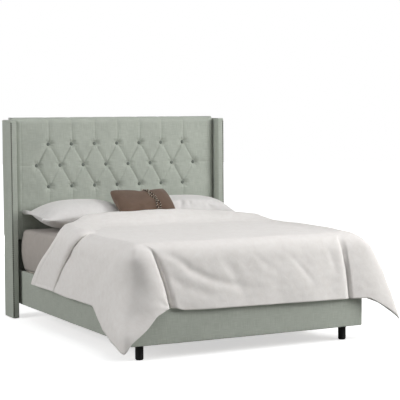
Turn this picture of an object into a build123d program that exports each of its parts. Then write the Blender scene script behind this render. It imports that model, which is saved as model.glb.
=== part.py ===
from build123d import *
from math import cos, hypot, radians, sin
import os

# Upholstered wingback bed, queen size, millimetres.
# X runs across the bed, +Y towards the headboard, +Z up. The origin is on the floor,
# under the middle support leg, halfway along the bed.
os.makedirs("parts", exist_ok=True)

# Mattress and box spring
mattress_width = 1510.0
mattress_length = 2000.0
mattress_height = 290.0
mattress_corner_radius = 60.0
mattress_edge = 18.0
box_spring_height = 190.0
box_spring_corner_radius = 30.0
bedding_gap = 5.0
soft_gap = 0.3
sheet_thickness = 1.5

# Rails: boards with a padded linen wrap
rail_bottom = 95.0
rail_height = 245.0
rail_board_thickness = 18.0
foot_board_thickness = 36.0
rail_padding = 6.0
rail_edge_radius = 5.0
foot_rail_overlap = 24.0

# Headboard, from the front of the pad to its back cover
wing_height = 1420.0
wing_thickness = 50.0
wing_reach = 67.0
wing_wrap = 6.0
wing_edge_radius = 5.0
wing_rail_gap = 21.0
pad_thickness = 78.0
panel_thickness = 10.0
head_frame_thickness = 28.0
back_cover_thickness = 2.0
pad_rise = 15.0
pad_top_return = 30.0
pad_bottom = 560.0
pad_side_roll = 52.0
pad_top_roll = 46.0
roll_pull_share = 0.414
lower_cover_thickness = 5.0
stile_width = 95.0
head_rail_width = 70.0
cross_rail_count = 4

# Tufting: three rows of buttons, with sewn-in pleats between them
button_pitch = 180.0
row_spacing = 154.0
top_row_drop = 195.0
row_count = 3
long_row_count = 8
tuft_depth = 21.0
tuft_mouth_radius = 40.0
button_radius = 13.0
button_dome = 7.0
button_sides = 12
button_taper_degrees = 30
button_play = 2.5
pleat_half_width = 32.0
pleat_fold_half_width = 6.0
pleat_shoulder_depth = 6.0
pleat_depth = 16.0

# Timber inside the wings
wing_stile_width = 38.0
wing_rail_width = 50.0
wing_glide_height = 4.0
wing_glide_radius = 15.0

# Nail heads down the front of each wing
nail_radius = 5.0
nail_height = 2.5
nail_sides = 6
nail_taper_degrees = 30
nail_pitch = 14.0
nail_edge_distance = 8.0
nail_end_distance = 20.0

# Slats and their cleats
cleat_width = 25.0
cleat_height = 30.0
slat_width = 70.0
slat_thickness = 19.0
slat_foot_gap = 35.0
slat_head_gap = 125.0
slat_count = 5
slat_end_play = 1.0

# Corner blocks and foot legs
corner_block_width = 90.0
corner_block_length = 93.0
corner_block_height = 45.0
foot_leg_radius = 25.0
foot_leg_chamfer = 2.0
foot_leg_setback = 95.0
foot_leg_inset = 71.0
leg_glide_height = 4.0
leg_glide_radius = 20.0

# Fasteners
bolt_radius = 4.0
bolt_head_radius = 7.5
bolt_head_height = 5.0
bolt_hole_play = 0.3
corner_bolt_depth = 22.0
hanger_bolt_length = 80.0
bracket_thickness = 3.0
bracket_leg = 60.0
bracket_height = 150.0
bracket_lift = 20.0
bracket_bolt_inset = 35.0
bracket_bolt_shares = (0.25, 0.75)
wing_bolt_low = 300.0
wing_bolt_high = 1100.0
wing_bolt_grip = 24.0

# Support legs under the slats, with levelling feet
support_leg_radius = 17.0
support_leg_bore = 12.0
support_plate_width = 60.0
support_plate_thickness = 3.0
support_leg_bottom = 32.0
ferrule_height = 14.0
levelling_pad_radius = 22.0
levelling_pad_height = 8.0
levelling_stem_radius = 5.0
levelling_stem_play = 0.3
levelling_stem_top = 78.0
levelling_nut_radius = 9.0
levelling_nut_height = 5.0

# Pillows
pillow_width = 730.0
pillow_depth = 450.0
pillow_height = 214.0
pillow_gap = 50.0
pillow_tilt = 5.0
lumbar_width = 440.0
lumbar_depth = 265.0
lumbar_height = 100.0
lumbar_offset = 10.0
lumbar_tilt = 34.0
lumbar_overlap = 26.0
trim_width = 40.0
trim_thickness = 3.0
trim_place_share = 0.33

# Duvet: a top that lies on the mattress and sides that hang past the rails
duvet_top_loft = 62.0
duvet_wall = 18.0
duvet_spread = 74.0
duvet_side_drop = 350.0
duvet_tip_drop = 575.0
duvet_fold_depth = 17.0
duvet_head_gap = 8.0
left_corner_flare = 45.0
right_corner_flare = 220.0
left_tip_rise = 5.0
right_tip_rise = 75.0
duvet_corner_radius = 120.0
left_corner_reach = 260.0
right_corner_reach = 430.0
left_flap_length = 530.0
left_foot_flap_length = 250.0
right_foot_flap_length = 40.0
head_edge_slope = 210.0
head_edge_run = 330.0
turnback_width = 350.0
turnback_loft = 60.0
turnback_wall = 11.0

overrun = 10.0

# Heights, worked out from the floor up
rail_top = rail_bottom + rail_height
board_bottom = rail_bottom + rail_padding
board_top = rail_top - rail_padding
slat_bottom = board_bottom + cleat_height
slat_top = slat_bottom + slat_thickness
box_bottom = slat_top + soft_gap
box_top = box_bottom + box_spring_height
mattress_bottom = box_top + soft_gap
mattress_top = mattress_bottom + mattress_height
bed_top = mattress_top + soft_gap + sheet_thickness + soft_gap
pad_top = wing_height + pad_rise
panel_top = pad_top - pad_top_return

# Places across the bed
mattress_side = mattress_width / 2
rail_inner = mattress_side + bedding_gap
board_outer = rail_inner + rail_board_thickness
rail_outer = board_outer + rail_padding
foot_rail_side = rail_outer + foot_rail_overlap
wing_inner = rail_outer + wing_rail_gap
wing_outer = wing_inner + wing_thickness
head_side = wing_inner - soft_gap

# Places along the bed
foot_rail_thickness = foot_board_thickness + rail_padding
headboard_depth = pad_thickness + panel_thickness + head_frame_thickness + back_cover_thickness
overall_length = foot_rail_thickness + mattress_length + 2 * bedding_gap + headboard_depth
head_back = overall_length / 2
frame_back = head_back - back_cover_thickness
panel_back = frame_back - head_frame_thickness
panel_front = panel_back - panel_thickness
pad_front = panel_front - pad_thickness
wing_front = pad_front - wing_reach
lower_cover_front = panel_front - lower_cover_thickness
mattress_head = pad_front - bedding_gap
mattress_foot = mattress_head - mattress_length
foot_rail_inner = mattress_foot - bedding_gap
foot_front = foot_rail_inner - foot_rail_thickness


def block(x0, x1, y0, y1, z0, z1):
    """A box between two corners."""
    return Pos((x0 + x1) / 2, (y0 + y1) / 2, (z0 + z1) / 2) * Box(abs(x1 - x0), abs(y1 - y0), abs(z1 - z0))


def rod_x(x0, x1, y, z, radius):
    """A round bar along X."""
    return Pos((x0 + x1) / 2, y, z) * Rot(0, 90, 0) * Cylinder(radius, abs(x1 - x0))


def rod_y(x, y0, y1, z, radius):
    """A round bar along Y."""
    return Pos(x, (y0 + y1) / 2, z) * Rot(90, 0, 0) * Cylinder(radius, abs(y1 - y0))


def rod_z(x, y, z0, z1, radius):
    """A round bar along Z."""
    return Pos(x, y, (z0 + z1) / 2) * Cylinder(radius, z1 - z0)


def save(name, shapes):
    """Writes one node's STEP file from one solid or a group of them."""
    solids = [s for shape in (shapes if isinstance(shapes, list) else [shapes]) for s in shape.solids()]
    export_step(solids[0] if len(solids) == 1 else Compound(children=solids), f"parts/{name}.step")


def outer_edges(solid, axis):
    """The edges of a solid that run along one axis."""
    return solid.edges().filter_by(axis)


# Headboard: a timber frame with a plywood panel, closed at the back by a cloth
def headboard_frame():
    solids = [block(side * (head_side - stile_width), side * head_side, panel_back, frame_back,
                    board_bottom, panel_top) for side in (-1, 1)]
    rail_half = head_side - stile_width
    step = (panel_top - board_bottom - head_rail_width) / (cross_rail_count - 1)
    for i in range(cross_rail_count):
        z = board_bottom + i * step
        solids.append(block(-rail_half, rail_half, panel_back, frame_back, z, z + head_rail_width))
    return [s - bolt_holes() for s in solids]


def headboard_panel():
    return block(-head_side, head_side, panel_front, panel_back, board_bottom, panel_top) - bolt_holes()


def headboard_lower_cover():
    body = block(-head_side, head_side, lower_cover_front, panel_front, rail_bottom, pad_bottom)
    return body - bolt_holes()


def headboard_back_cover():
    return block(-head_side, head_side, frame_back, head_back, board_bottom, wing_height)


# Tufted pad: rolled at the top and sides, drawn in at each button, pleated from button to button
def roll_arc(start, end, corner):
    """The middle point of a roll that runs from one face to the next."""
    middle = ((start[0] + end[0]) / 2, (start[1] + end[1]) / 2)
    return tuple(m + (c - m) * roll_pull_share for m, c in zip(middle, corner))


def pad_body():
    side_end = (head_side, pad_front + pad_side_roll)
    front_end = (head_side - pad_side_roll, pad_front)
    mid = roll_arc(side_end, front_end, (head_side, pad_front))
    plan = make_face([
        Line((-front_end[0], pad_front), front_end),
        ThreePointArc(front_end, mid, side_end),
        Line(side_end, (head_side, frame_back)),
        Line((head_side, frame_back), (-head_side, frame_back)),
        Line((-head_side, frame_back), (-side_end[0], side_end[1])),
        ThreePointArc((-side_end[0], side_end[1]), (-mid[0], mid[1]), (-front_end[0], pad_front)),
    ])
    wide = extrude(Pos(0, 0, pad_bottom) * plan, pad_top - pad_bottom)
    front_up = (pad_front, pad_top - pad_top_roll)
    top_in = (pad_front + pad_top_roll, pad_top)
    roll = roll_arc(front_up, top_in, (pad_front, pad_top))
    profile = make_face([
        Line((pad_front, pad_bottom), front_up),
        ThreePointArc(front_up, roll, top_in),
        Line(top_in, (frame_back, pad_top)),
        Line((frame_back, pad_top), (frame_back, panel_top)),
        Line((frame_back, panel_top), (panel_front, panel_top)),
        Line((panel_front, panel_top), (panel_front, pad_bottom)),
        Line((panel_front, pad_bottom), (pad_front, pad_bottom)),
    ])
    end = Plane(origin=(-wing_outer, 0, 0), x_dir=(0, 1, 0), z_dir=(1, 0, 0))
    return wide & extrude(end * profile, 2 * wing_outer)


def button_places():
    """Each row's buttons, top row first: the middle row has one more than the others."""
    rows = []
    for i in range(row_count):
        z = pad_top - top_row_drop - i * row_spacing
        count = long_row_count - (i + 1) % 2
        rows.append([((k - (count - 1) / 2) * button_pitch, z) for k in range(count)])
    return rows


def pleat(start, end):
    """The folded-in groove between two places on the pad's face."""
    dx, dz = end[0] - start[0], end[1] - start[1]
    length = hypot(dx, dz)
    along = Vector(dx / length, 0, dz / length)
    plane = Plane(origin=(start[0], pad_front, start[1]), x_dir=along.cross(Vector(0, 1, 0)), z_dir=along)
    section = Polyline(
        (-pleat_half_width, -overrun), (-pleat_half_width, 0),
        (-pleat_fold_half_width, pleat_shoulder_depth), (0, pleat_depth),
        (pleat_fold_half_width, pleat_shoulder_depth), (pleat_half_width, 0),
        (pleat_half_width, -overrun), close=True)
    return extrude(plane * make_face(section), length)


def pleats():
    top, middle, bottom = button_places()
    cuts = []
    for row in (top, bottom):
        for k, place in enumerate(row):
            cuts += [pleat(place, middle[k]), pleat(place, middle[k + 1])]
    cuts += [pleat(place, (place[0], pad_top)) for place in top]
    cuts += [pleat((place[0], pad_bottom), place) for place in bottom]
    cuts += [pleat(middle[0], (-head_side, middle[0][1])), pleat(middle[-1], (head_side, middle[-1][1]))]
    return cuts


def tuft_pits():
    height = tuft_depth + overrun
    slope = (tuft_mouth_radius - button_radius) / tuft_depth
    mouth = tuft_mouth_radius + slope * overrun
    pit = Rot(90, 0, 0) * Cone(button_radius + button_play, mouth, height)
    return [Pos(x, pad_front + tuft_depth - height / 2, z) * pit for row in button_places() for x, z in row]


def headboard_pad():
    return pad_body() - (pleats() + tuft_pits())


def tufting_buttons():
    button = extrude(RegularPolygon(button_radius, button_sides), button_dome, taper=button_taper_degrees)
    button = Rot(90, 0, 0) * button
    seat = pad_front + tuft_depth - soft_gap
    return [Pos(x, seat, z) * button for row in button_places() for x, z in row]


# Wings: timber frames in a padded linen wrap, standing on the floor on glides
def wing_frame(side):
    x0, x1 = wing_inner + wing_wrap, wing_outer - wing_wrap
    y0, y1 = wing_front + wing_wrap, head_back - wing_wrap
    z0, z1 = wing_glide_height, wing_height - wing_wrap
    solids = [block(x0, x1, y0, y0 + wing_stile_width, z0, z1),
              block(x0, x1, y1 - wing_stile_width, y1, z0, z1)]
    step = (z1 - z0 - wing_rail_width) / (cross_rail_count - 1)
    for i in range(cross_rail_count):
        z = z0 + i * step
        solids.append(block(x0, x1, y0 + wing_stile_width, y1 - wing_stile_width, z, z + wing_rail_width))
    solids = [s - bolt_holes() for s in solids]
    return solids if side > 0 else [mirror(s, Plane.YZ) for s in solids]


def wing_cover(side):
    body = block(wing_inner, wing_outer, wing_front, head_back, wing_glide_height, wing_height)
    edges = outer_edges(body, Axis.Z) + body.edges().group_by(Axis.Z)[-1]
    body = fillet(edges, wing_edge_radius)
    body -= block(wing_inner + wing_wrap, wing_outer - wing_wrap, wing_front + wing_wrap,
                  head_back - wing_wrap, wing_glide_height - overrun, wing_height - wing_wrap)
    body -= bolt_holes()
    return body if side > 0 else mirror(body, Plane.YZ)


def wing_glides():
    x = (wing_inner + wing_outer) / 2
    y_front = wing_front + wing_wrap + wing_stile_width / 2
    y_back = head_back - wing_wrap - wing_stile_width / 2
    return [rod_z(side * x, y, 0, wing_glide_height, wing_glide_radius)
            for side in (-1, 1) for y in (y_front, y_back)]


def nail_trim(side):
    head = extrude(RegularPolygon(nail_radius, nail_sides), nail_height, taper=nail_taper_degrees)
    head = Rot(90, 0, 0) * head
    x = side * (wing_outer - nail_edge_distance)
    count = int((wing_height - 2 * nail_end_distance) / nail_pitch) + 1
    return [Pos(x, wing_front, nail_end_distance + i * nail_pitch) * head for i in range(count)]


# Bolts: through the stiles into the wings, and through the brackets at the head end
wing_bolt_y = frame_back - head_frame_thickness / 2
head_bolt_x = rail_inner - bracket_thickness - (bracket_leg - bracket_bolt_inset)
head_bolt_y = lower_cover_front - bracket_bolt_inset
bracket_bottom = slat_top + bracket_lift
bracket_bolt_heights = [bracket_bottom + bracket_height * share for share in bracket_bolt_shares]
wing_bolt_start = head_side - stile_width
wing_bolt_end = wing_inner + wing_wrap + wing_bolt_grip


def bolt_holes():
    """Clearance holes for every bolt at the head end, on both sides."""
    r = bolt_radius + bolt_hole_play
    holes = [rod_x(wing_bolt_start - overrun, wing_bolt_end + bolt_hole_play, wing_bolt_y, z, r)
             for z in (wing_bolt_low, wing_bolt_high)]
    for z in bracket_bolt_heights:
        holes.append(rod_y(head_bolt_x, lower_cover_front - bracket_thickness - overrun,
                           frame_back - bolt_head_height + bolt_hole_play, z, r))
        holes.append(rod_x(rail_inner - bracket_thickness - overrun,
                           board_outer - bolt_hole_play, head_bolt_y, z, r))
    return holes + [mirror(h, Plane.YZ) for h in holes]


def wing_bolts():
    bolts = []
    for z in (wing_bolt_low, wing_bolt_high):
        shank = rod_x(wing_bolt_start, wing_bolt_end, wing_bolt_y, z, bolt_radius)
        head = rod_x(wing_bolt_start - bolt_head_height, wing_bolt_start, wing_bolt_y, z, bolt_head_radius)
        bolts.append(shank + head)
    return bolts + [mirror(b, Plane.YZ) for b in bolts]


def head_bracket(side):
    z0, z1 = bracket_bottom, bracket_bottom + bracket_height
    along = block(rail_inner - bracket_thickness, rail_inner, lower_cover_front - bracket_leg,
                  lower_cover_front, z0, z1)
    across = block(rail_inner - bracket_leg, rail_inner, lower_cover_front - bracket_thickness,
                   lower_cover_front, z0, z1)
    body = along + across - bolt_holes()
    return body if side > 0 else mirror(body, Plane.YZ)


def head_bolts():
    bolts = []
    for z in bracket_bolt_heights:
        y = lower_cover_front - bracket_thickness
        bolts.append(rod_y(head_bolt_x, y, frame_back - bolt_head_height, z, bolt_radius)
                     + rod_y(head_bolt_x, y - bolt_head_height, y, z, bolt_head_radius))
        x = rail_inner - bracket_thickness
        bolts.append(rod_x(x, board_outer - 2 * bolt_hole_play, head_bolt_y, z, bolt_radius)
                     + rod_x(x - bolt_head_height, x, head_bolt_y, z, bolt_head_radius))
    return bolts + [mirror(b, Plane.YZ) for b in bolts]


# Side and foot rails: boards wrapped in padded linen, joined at corner blocks
side_rail_head = lower_cover_front
side_rail_foot = foot_rail_inner
block_head = foot_rail_inner + corner_block_length
block_top = board_bottom + corner_block_height
corner_bolt_z = board_bottom + corner_block_height / 2
leg_x = rail_outer - foot_leg_inset
leg_y = foot_front + foot_leg_setback
side_bolt_y = block_head - bolt_head_radius - bolt_head_height
foot_bolt_x = rail_inner - corner_block_width + bolt_head_radius + bolt_head_height


def corner_bolts():
    """One bolt from each block into the side board, and one into the foot board."""
    x, y = rail_inner - corner_block_width, block_head
    bolts = [rod_x(x, rail_inner + rail_board_thickness / 2, side_bolt_y, corner_bolt_z, bolt_radius)
             + rod_x(x - bolt_head_height, x, side_bolt_y, corner_bolt_z, bolt_head_radius),
             rod_y(foot_bolt_x, foot_rail_inner - corner_bolt_depth, y, corner_bolt_z, bolt_radius)
             + rod_y(foot_bolt_x, y, y + bolt_head_height, corner_bolt_z, bolt_head_radius)]
    return bolts + [mirror(b, Plane.YZ) for b in bolts]


def corner_holes():
    r = bolt_radius + bolt_hole_play
    x = rail_inner - corner_block_width - overrun
    holes = [rod_x(x, rail_inner + rail_board_thickness / 2 + bolt_hole_play, side_bolt_y, corner_bolt_z, r),
             rod_y(foot_bolt_x, foot_rail_inner - corner_bolt_depth - bolt_hole_play,
                   block_head + overrun, corner_bolt_z, r),
             rod_z(leg_x, leg_y, rail_bottom - overrun, block_top + overrun, r)]
    return holes + [mirror(h, Plane.YZ) for h in holes]


def side_rail_board(side):
    body = block(rail_inner, board_outer, side_rail_foot, side_rail_head, board_bottom, board_top)
    body -= bolt_holes() + corner_holes()
    return body if side > 0 else mirror(body, Plane.YZ)


def side_rail_cover(side):
    body = block(rail_inner, rail_outer, side_rail_foot, side_rail_head, rail_bottom, rail_top)
    body = fillet(outer_edges(body, Axis.Y).sort_by(Axis.X)[-2:], rail_edge_radius)
    body -= block(rail_inner - overrun, board_outer, side_rail_foot - overrun, side_rail_head + overrun,
                  board_bottom, board_top)
    return body if side > 0 else mirror(body, Plane.YZ)


def foot_rail_board():
    half = foot_rail_side - rail_padding
    body = block(-half, half, foot_front + rail_padding, foot_rail_inner, board_bottom, board_top)
    return body - corner_holes()


def foot_rail_cover():
    body = block(-foot_rail_side, foot_rail_side, foot_front, foot_rail_inner, rail_bottom, rail_top)
    front = body.faces().sort_by(Axis.Y)[0].edges()
    body = fillet(front, rail_edge_radius)
    half = foot_rail_side - rail_padding
    return body - block(-half, half, foot_front + rail_padding, foot_rail_inner + overrun,
                        board_bottom, board_top)


def corner_block(side):
    body = block(rail_inner - corner_block_width, rail_inner, foot_rail_inner, block_head,
                 board_bottom, block_top) - corner_holes()
    return body if side > 0 else mirror(body, Plane.YZ)


# Foot legs: turned and painted, screwed up into the corner blocks
def foot_leg(side):
    body = rod_z(side * leg_x, leg_y, leg_glide_height, board_bottom, foot_leg_radius)
    body = chamfer(body.edges().group_by(Axis.Z)[0], foot_leg_chamfer)
    hole = rod_z(side * leg_x, leg_y, block_top - hanger_bolt_length, board_bottom + overrun,
                 bolt_radius + bolt_hole_play)
    return body - hole


def hanger_bolts():
    low = block_top - hanger_bolt_length + bolt_hole_play
    return [rod_z(side * leg_x, leg_y, low, block_top, bolt_radius) for side in (-1, 1)]


def leg_glides():
    return [rod_z(side * leg_x, leg_y, 0, leg_glide_height, leg_glide_radius) for side in (-1, 1)]


# Slats on cleats, carrying the box spring
def slat_cleat(side):
    body = block(rail_inner - cleat_width, rail_inner, block_head + bolt_hole_play,
                 lower_cover_front, board_bottom, slat_bottom)
    return body if side > 0 else mirror(body, Plane.YZ)


def slat_places():
    """The slats' middles, evenly spread from the corner blocks to the headboard."""
    first = block_head + slat_foot_gap + slat_width / 2
    last = lower_cover_front - slat_head_gap - slat_width / 2
    return [first + (last - first) * i / (slat_count - 1) for i in range(slat_count)]


def cross_slats():
    half = rail_inner - slat_end_play
    return [block(-half, half, y - slat_width / 2, y + slat_width / 2, slat_bottom, slat_top)
            for y in slat_places()]


# Support legs: steel tubes under three slats, each with a screwed levelling foot
def support_places():
    return slat_places()[1:-1]


def support_leg(y):
    plate = block(-support_plate_width / 2, support_plate_width / 2, y - support_plate_width / 2,
                  y + support_plate_width / 2, slat_bottom - support_plate_thickness, slat_bottom)
    tube = rod_z(0, y, support_leg_bottom + ferrule_height, slat_bottom - support_plate_thickness,
                 support_leg_radius)
    bore = rod_z(0, y, support_leg_bottom, slat_bottom - support_plate_thickness, support_leg_bore)
    return plate + (tube - bore)


def leg_ferrule(y):
    collar = rod_z(0, y, support_leg_bottom, support_leg_bottom + ferrule_height, support_leg_radius)
    return collar - rod_z(0, y, support_leg_bottom - overrun, support_leg_bottom + ferrule_height + overrun,
                          levelling_stem_radius + levelling_stem_play)


def levelling_foot(y):
    pad = rod_z(0, y, 0, levelling_pad_height, levelling_pad_radius)
    pad = chamfer(pad.edges().group_by(Axis.Z)[-1], levelling_pad_height / 4)
    nut_top = levelling_pad_height + levelling_nut_height
    nut = extrude(RegularPolygon(levelling_nut_radius, 6), levelling_nut_height)
    stem = rod_z(0, y, nut_top, levelling_stem_top, levelling_stem_radius)
    return pad + Pos(0, y, levelling_pad_height) * nut + stem


# Box spring and mattress
def slab(half_width, y0, y1, z0, z1, corner, edge):
    """A quilted block with rounded corners and taped edges."""
    plan = Pos(0, (y0 + y1) / 2, z0) * RectangleRounded(2 * half_width, y1 - y0, corner)
    body = extrude(plan, z1 - z0)
    rims = body.edges().group_by(Axis.Z)
    return chamfer(rims[0] + rims[-1], edge)


def box_spring():
    return slab(mattress_side, mattress_foot, mattress_head, box_bottom, box_top,
                box_spring_corner_radius, mattress_edge / 2)


def mattress():
    return slab(mattress_side, mattress_foot, mattress_head, mattress_bottom, mattress_top,
                mattress_corner_radius, mattress_edge)


def fitted_sheet():
    def layer(out, low):
        return slab(mattress_side + out, mattress_foot - out, mattress_head + out, low,
                    mattress_top + out, mattress_corner_radius + out, mattress_edge)
    skin = layer(soft_gap + sheet_thickness, mattress_bottom) - layer(soft_gap, mattress_bottom - overrun)
    keep = block(-foot_rail_side, foot_rail_side, foot_front, pad_front,
                 mattress_bottom + mattress_edge, mattress_top + overrun)
    return skin & keep


# Levels of the duvet
drape_rise_share = (0.0, 0.37, 0.62, 0.87, 0.96, 1.0)
drape_spread_share = (1.15, 1.0, 0.86, 0.66, 0.30, -0.55)
drape_fold_share = (1.0, 1.0, 0.7, 0.3, 0.16, 0.08)
drape_flare_share = (0.95, 0.78, 0.78, 0.34, 0.10, 0.04)
drape_corner_share = (0.6, 0.7, 0.85, 1.0, 1.0, 1.0)
side_fold_share = (0.0, 0.17, 0.41, 0.60, 0.83, 1.0)
foot_fold_share = (0.0, 0.22, 0.53, 0.76, 1.0)
flap_slope_share = 0.36
flap_drop_share = 0.5

duvet_tip = mattress_top - duvet_tip_drop
duvet_top = bed_top + duvet_top_loft
duvet_hem = mattress_top - duvet_side_drop
duvet_head = pad_front - pillow_depth - duvet_head_gap
side_base = mattress_side + sheet_thickness + soft_gap


# Cushions: lens-shaped sections, full in the middle and drawn in towards the seams
cushion_place_share = (-1.0, -0.94, -0.82, -0.6, -0.3, 0.0, 0.3, 0.6, 0.82, 0.94, 1.0)
cushion_height_share = (0.10, 0.34, 0.60, 0.84, 0.97, 1.0, 0.97, 0.84, 0.60, 0.34, 0.10)
cushion_depth_share = (1.0, 0.98, 0.95, 0.93, 0.91, 0.91, 0.91, 0.93, 0.95, 0.98, 1.0)


def cushion(width, depth, height, swell, first, last):
    """A filled cushion about its own centre, or a slice of one, grown by swell all round."""
    wires = []
    for place, high, deep in zip(cushion_place_share, cushion_height_share, cushion_depth_share):
        half = depth / 2 * deep + swell
        rise = height / 2 * high + swell
        wire = Wire([ThreePointArc((-half, 0), (0, rise), (half, 0)),
                     ThreePointArc((half, 0), (0, -rise), (-half, 0))])
        plane = Plane(origin=(width / 2 * place, 0, 0), x_dir=(0, 1, 0), z_dir=(1, 0, 0))
        wires.append(plane * wire)
    body = Solid.make_loft(wires, ruled=True)
    return body & block(first, last, -depth, depth, -depth, depth)


def resting_height(depth, height, tilt):
    """How high a tilted cushion's centre lies above what its round underside rests on."""
    half, rise = depth / 2 * min(cushion_depth_share), height / 2
    radius = (half ** 2 + rise ** 2) / (2 * rise)
    return radius - (radius - rise) * cos(radians(tilt))


pillow_centre_y = pad_front - soft_gap - pillow_depth / 2
pillow_centre_z = bed_top + resting_height(pillow_depth, pillow_height, pillow_tilt)
pillow_front = pillow_centre_y - pillow_depth / 2


def pillow(side):
    body = cushion(pillow_width, pillow_depth, pillow_height, 0, -pillow_width, pillow_width)
    x = side * (pillow_width + pillow_gap) / 2
    return Pos(x, pillow_centre_y, pillow_centre_z) * Rot(pillow_tilt, 0, 0) * body


def lumbar_place(shape):
    """Stands a shape on the duvet's folded edge, leaning back over the pillows."""
    z = duvet_top + turnback_loft + soft_gap + lumbar_depth / 2 * sin(radians(lumbar_tilt))
    return Pos(lumbar_offset, pillow_front + lumbar_overlap, z) * Rot(lumbar_tilt, 0, 0) * shape


def lumbar_pillow():
    return lumbar_place(cushion(lumbar_width, lumbar_depth, lumbar_height, 0, -lumbar_width, lumbar_width))


def lumbar_trim():
    x = lumbar_width / 2 * trim_place_share
    band = (x - trim_width / 2, x + trim_width / 2)
    outer = cushion(lumbar_width, lumbar_depth, lumbar_height, soft_gap + trim_thickness, *band)
    inner = cushion(lumbar_width, lumbar_depth, lumbar_height, soft_gap, *band)
    return lumbar_place(outer - inner)


# Duvet: plan outlines stacked from the corner tips up to the top, folds deepest at the hem
def folds(start, end, places, bulge):
    """A run of cloth in soft folds, each bulging by the same x and y from its chord, or a flat run."""
    if not any(bulge):
        return [Line(start, end)]
    points = [(start[0] + (end[0] - start[0]) * s, start[1] + (end[1] - start[1]) * s) for s in places]
    return [ThreePointArc(a, ((a[0] + b[0]) / 2 + bulge[0], (a[1] + b[1]) / 2 + bulge[1]), b)
            for a, b in zip(points, points[1:])]


def foot_corner(on_side, on_foot, level, full_flare):
    """The way round a foot corner: out along a flare, round the corner, and back."""
    away = 1 if on_side[0] > 0 else -1
    flare = full_flare * drape_flare_share[level] * cos(radians(45))
    radius = duvet_corner_radius * drape_corner_share[level]
    x, y = on_side[0] + away * flare, on_foot[1] - flare
    first, last = (x, y + radius), (x - away * radius, y)
    middle = roll_arc(first, last, (x, y))
    return [Line(on_side, first), ThreePointArc(first, middle, last), Line(last, on_foot)]


def drape_wire(level, grow, rise, fold_depth):
    """The plan outline of the hanging cloth at one level, grown outwards by grow."""
    out = duvet_spread * drape_spread_share[level] + grow
    fold = fold_depth * drape_fold_share[level]
    side, foot = side_base + out, mattress_foot - out
    z = duvet_tip + (duvet_top + rise - duvet_tip) * drape_rise_share[level]
    head_left, head_right = (-side, duvet_head + overrun), (side, duvet_head + overrun)
    left_side, right_side = (-side, foot + left_corner_reach), (side, foot + right_corner_reach)
    left_foot, right_foot = (left_corner_reach - side, foot), (side - right_corner_reach, foot)
    edges = folds(head_left, left_side, side_fold_share, (-fold, 0))
    edges += foot_corner(left_side, left_foot, level, left_corner_flare)
    edges += folds(left_foot, right_foot, foot_fold_share, (0, -fold / 2))
    edges += foot_corner(right_side, right_foot, level, right_corner_flare)
    edges += folds(right_side, head_right, side_fold_share, (fold, 0))
    return Pos(0, 0, z) * Wire(edges + [Line(head_right, head_left)])


def drape(grow, rise, fold_depth):
    """The filled form of the hanging cloth, with its folds as deep as fold_depth at the hem."""
    wires = [drape_wire(level, grow, rise, fold_depth) for level in range(len(drape_rise_share))]
    return Solid.make_loft(wires, ruled=True)


def below_hem(side):
    """What lies below the hem on one side: level, with a flap that slants to the corner's tip."""
    far = wing_outer + duvet_spread + right_corner_flare + overrun
    tip = duvet_tip + (right_tip_rise if side > 0 else left_tip_rise)
    foot_flap = right_foot_flap_length if side > 0 else left_foot_flap_length
    flap_start = mattress_foot - duvet_spread + left_flap_length
    knee = (flap_start - left_flap_length * flap_slope_share, duvet_hem + (tip - duvet_hem) * flap_drop_share)
    end = mattress_foot - duvet_spread - right_corner_flare - overrun
    low = duvet_tip - overrun
    profile = Polyline((duvet_head + 2 * overrun, low), (duvet_head + 2 * overrun, duvet_hem),
                       (flap_start, duvet_hem), knee, (mattress_foot - duvet_spread, tip), (end, tip),
                       (end, low), close=True)
    along = extrude(Plane(origin=(0, 0, 0), x_dir=(0, 1, 0), z_dir=(1, 0, 0)) * make_face(profile), far)
    corner = side_base + duvet_spread
    front = Polyline((0, low), (0, duvet_hem), (corner - foot_flap, duvet_hem),
                     (corner, tip), (far, tip), (far, low), close=True)
    across = extrude(Plane(origin=(0, duvet_head, 0), x_dir=(1, 0, 0), z_dir=(0, -1, 0)) * make_face(front),
                     duvet_head - end + overrun)
    cut = along + across
    return cut if side > 0 else mirror(cut, Plane.YZ)


def head_edge(shift):
    """What lies beyond the duvet's head edge: straight across, slanting back at the sides."""
    far = wing_outer + duvet_spread
    line = duvet_head - shift
    inner = side_base - head_edge_run
    low, high = duvet_tip - overrun, duvet_top + turnback_loft + overrun
    top = Polyline((-far, line - head_edge_slope), (-side_base, line - head_edge_slope), (-inner, line),
                   (inner, line), (side_base, line - head_edge_slope), (far, line - head_edge_slope),
                   (far, head_back), (-far, head_back), close=True)
    shoulder = mattress_top - duvet_wall
    upper = extrude(Pos(0, 0, shoulder) * make_face(top), high - shoulder)
    drop = Polyline((line - head_edge_slope, shoulder), (line + head_edge_slope / 2, duvet_hem),
                    (line + head_edge_slope, low), (head_back, low), (head_back, shoulder), close=True)
    sides = extrude(Plane(origin=(-far, 0, 0), x_dir=(0, 1, 0), z_dir=(1, 0, 0)) * make_face(drop), 2 * far)
    return upper + sides


def bed_space():
    """The space under the duvet: the hang of the cloth, the mattress and the rails."""
    low = duvet_tip - overrun
    gap = soft_gap + sheet_thickness + soft_gap
    hang = drape(-duvet_wall, -duvet_top_loft, 0)
    skirt = block(-side_base, side_base, mattress_foot, duvet_head + 2 * overrun, low, duvet_tip + overrun)
    bedding = block(-mattress_side - gap, mattress_side + gap, mattress_foot - gap,
                    duvet_head + 2 * overrun, low, bed_top)
    rails = block(-foot_rail_side - gap, foot_rail_side + gap, foot_front - gap,
                  duvet_head + 2 * overrun, low, rail_top + gap)
    return [hang, skirt, bedding, rails]


def duvet():
    return drape(0, 0, duvet_fold_depth) - (bed_space() + [below_hem(-1), below_hem(1), head_edge(0)])


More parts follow.
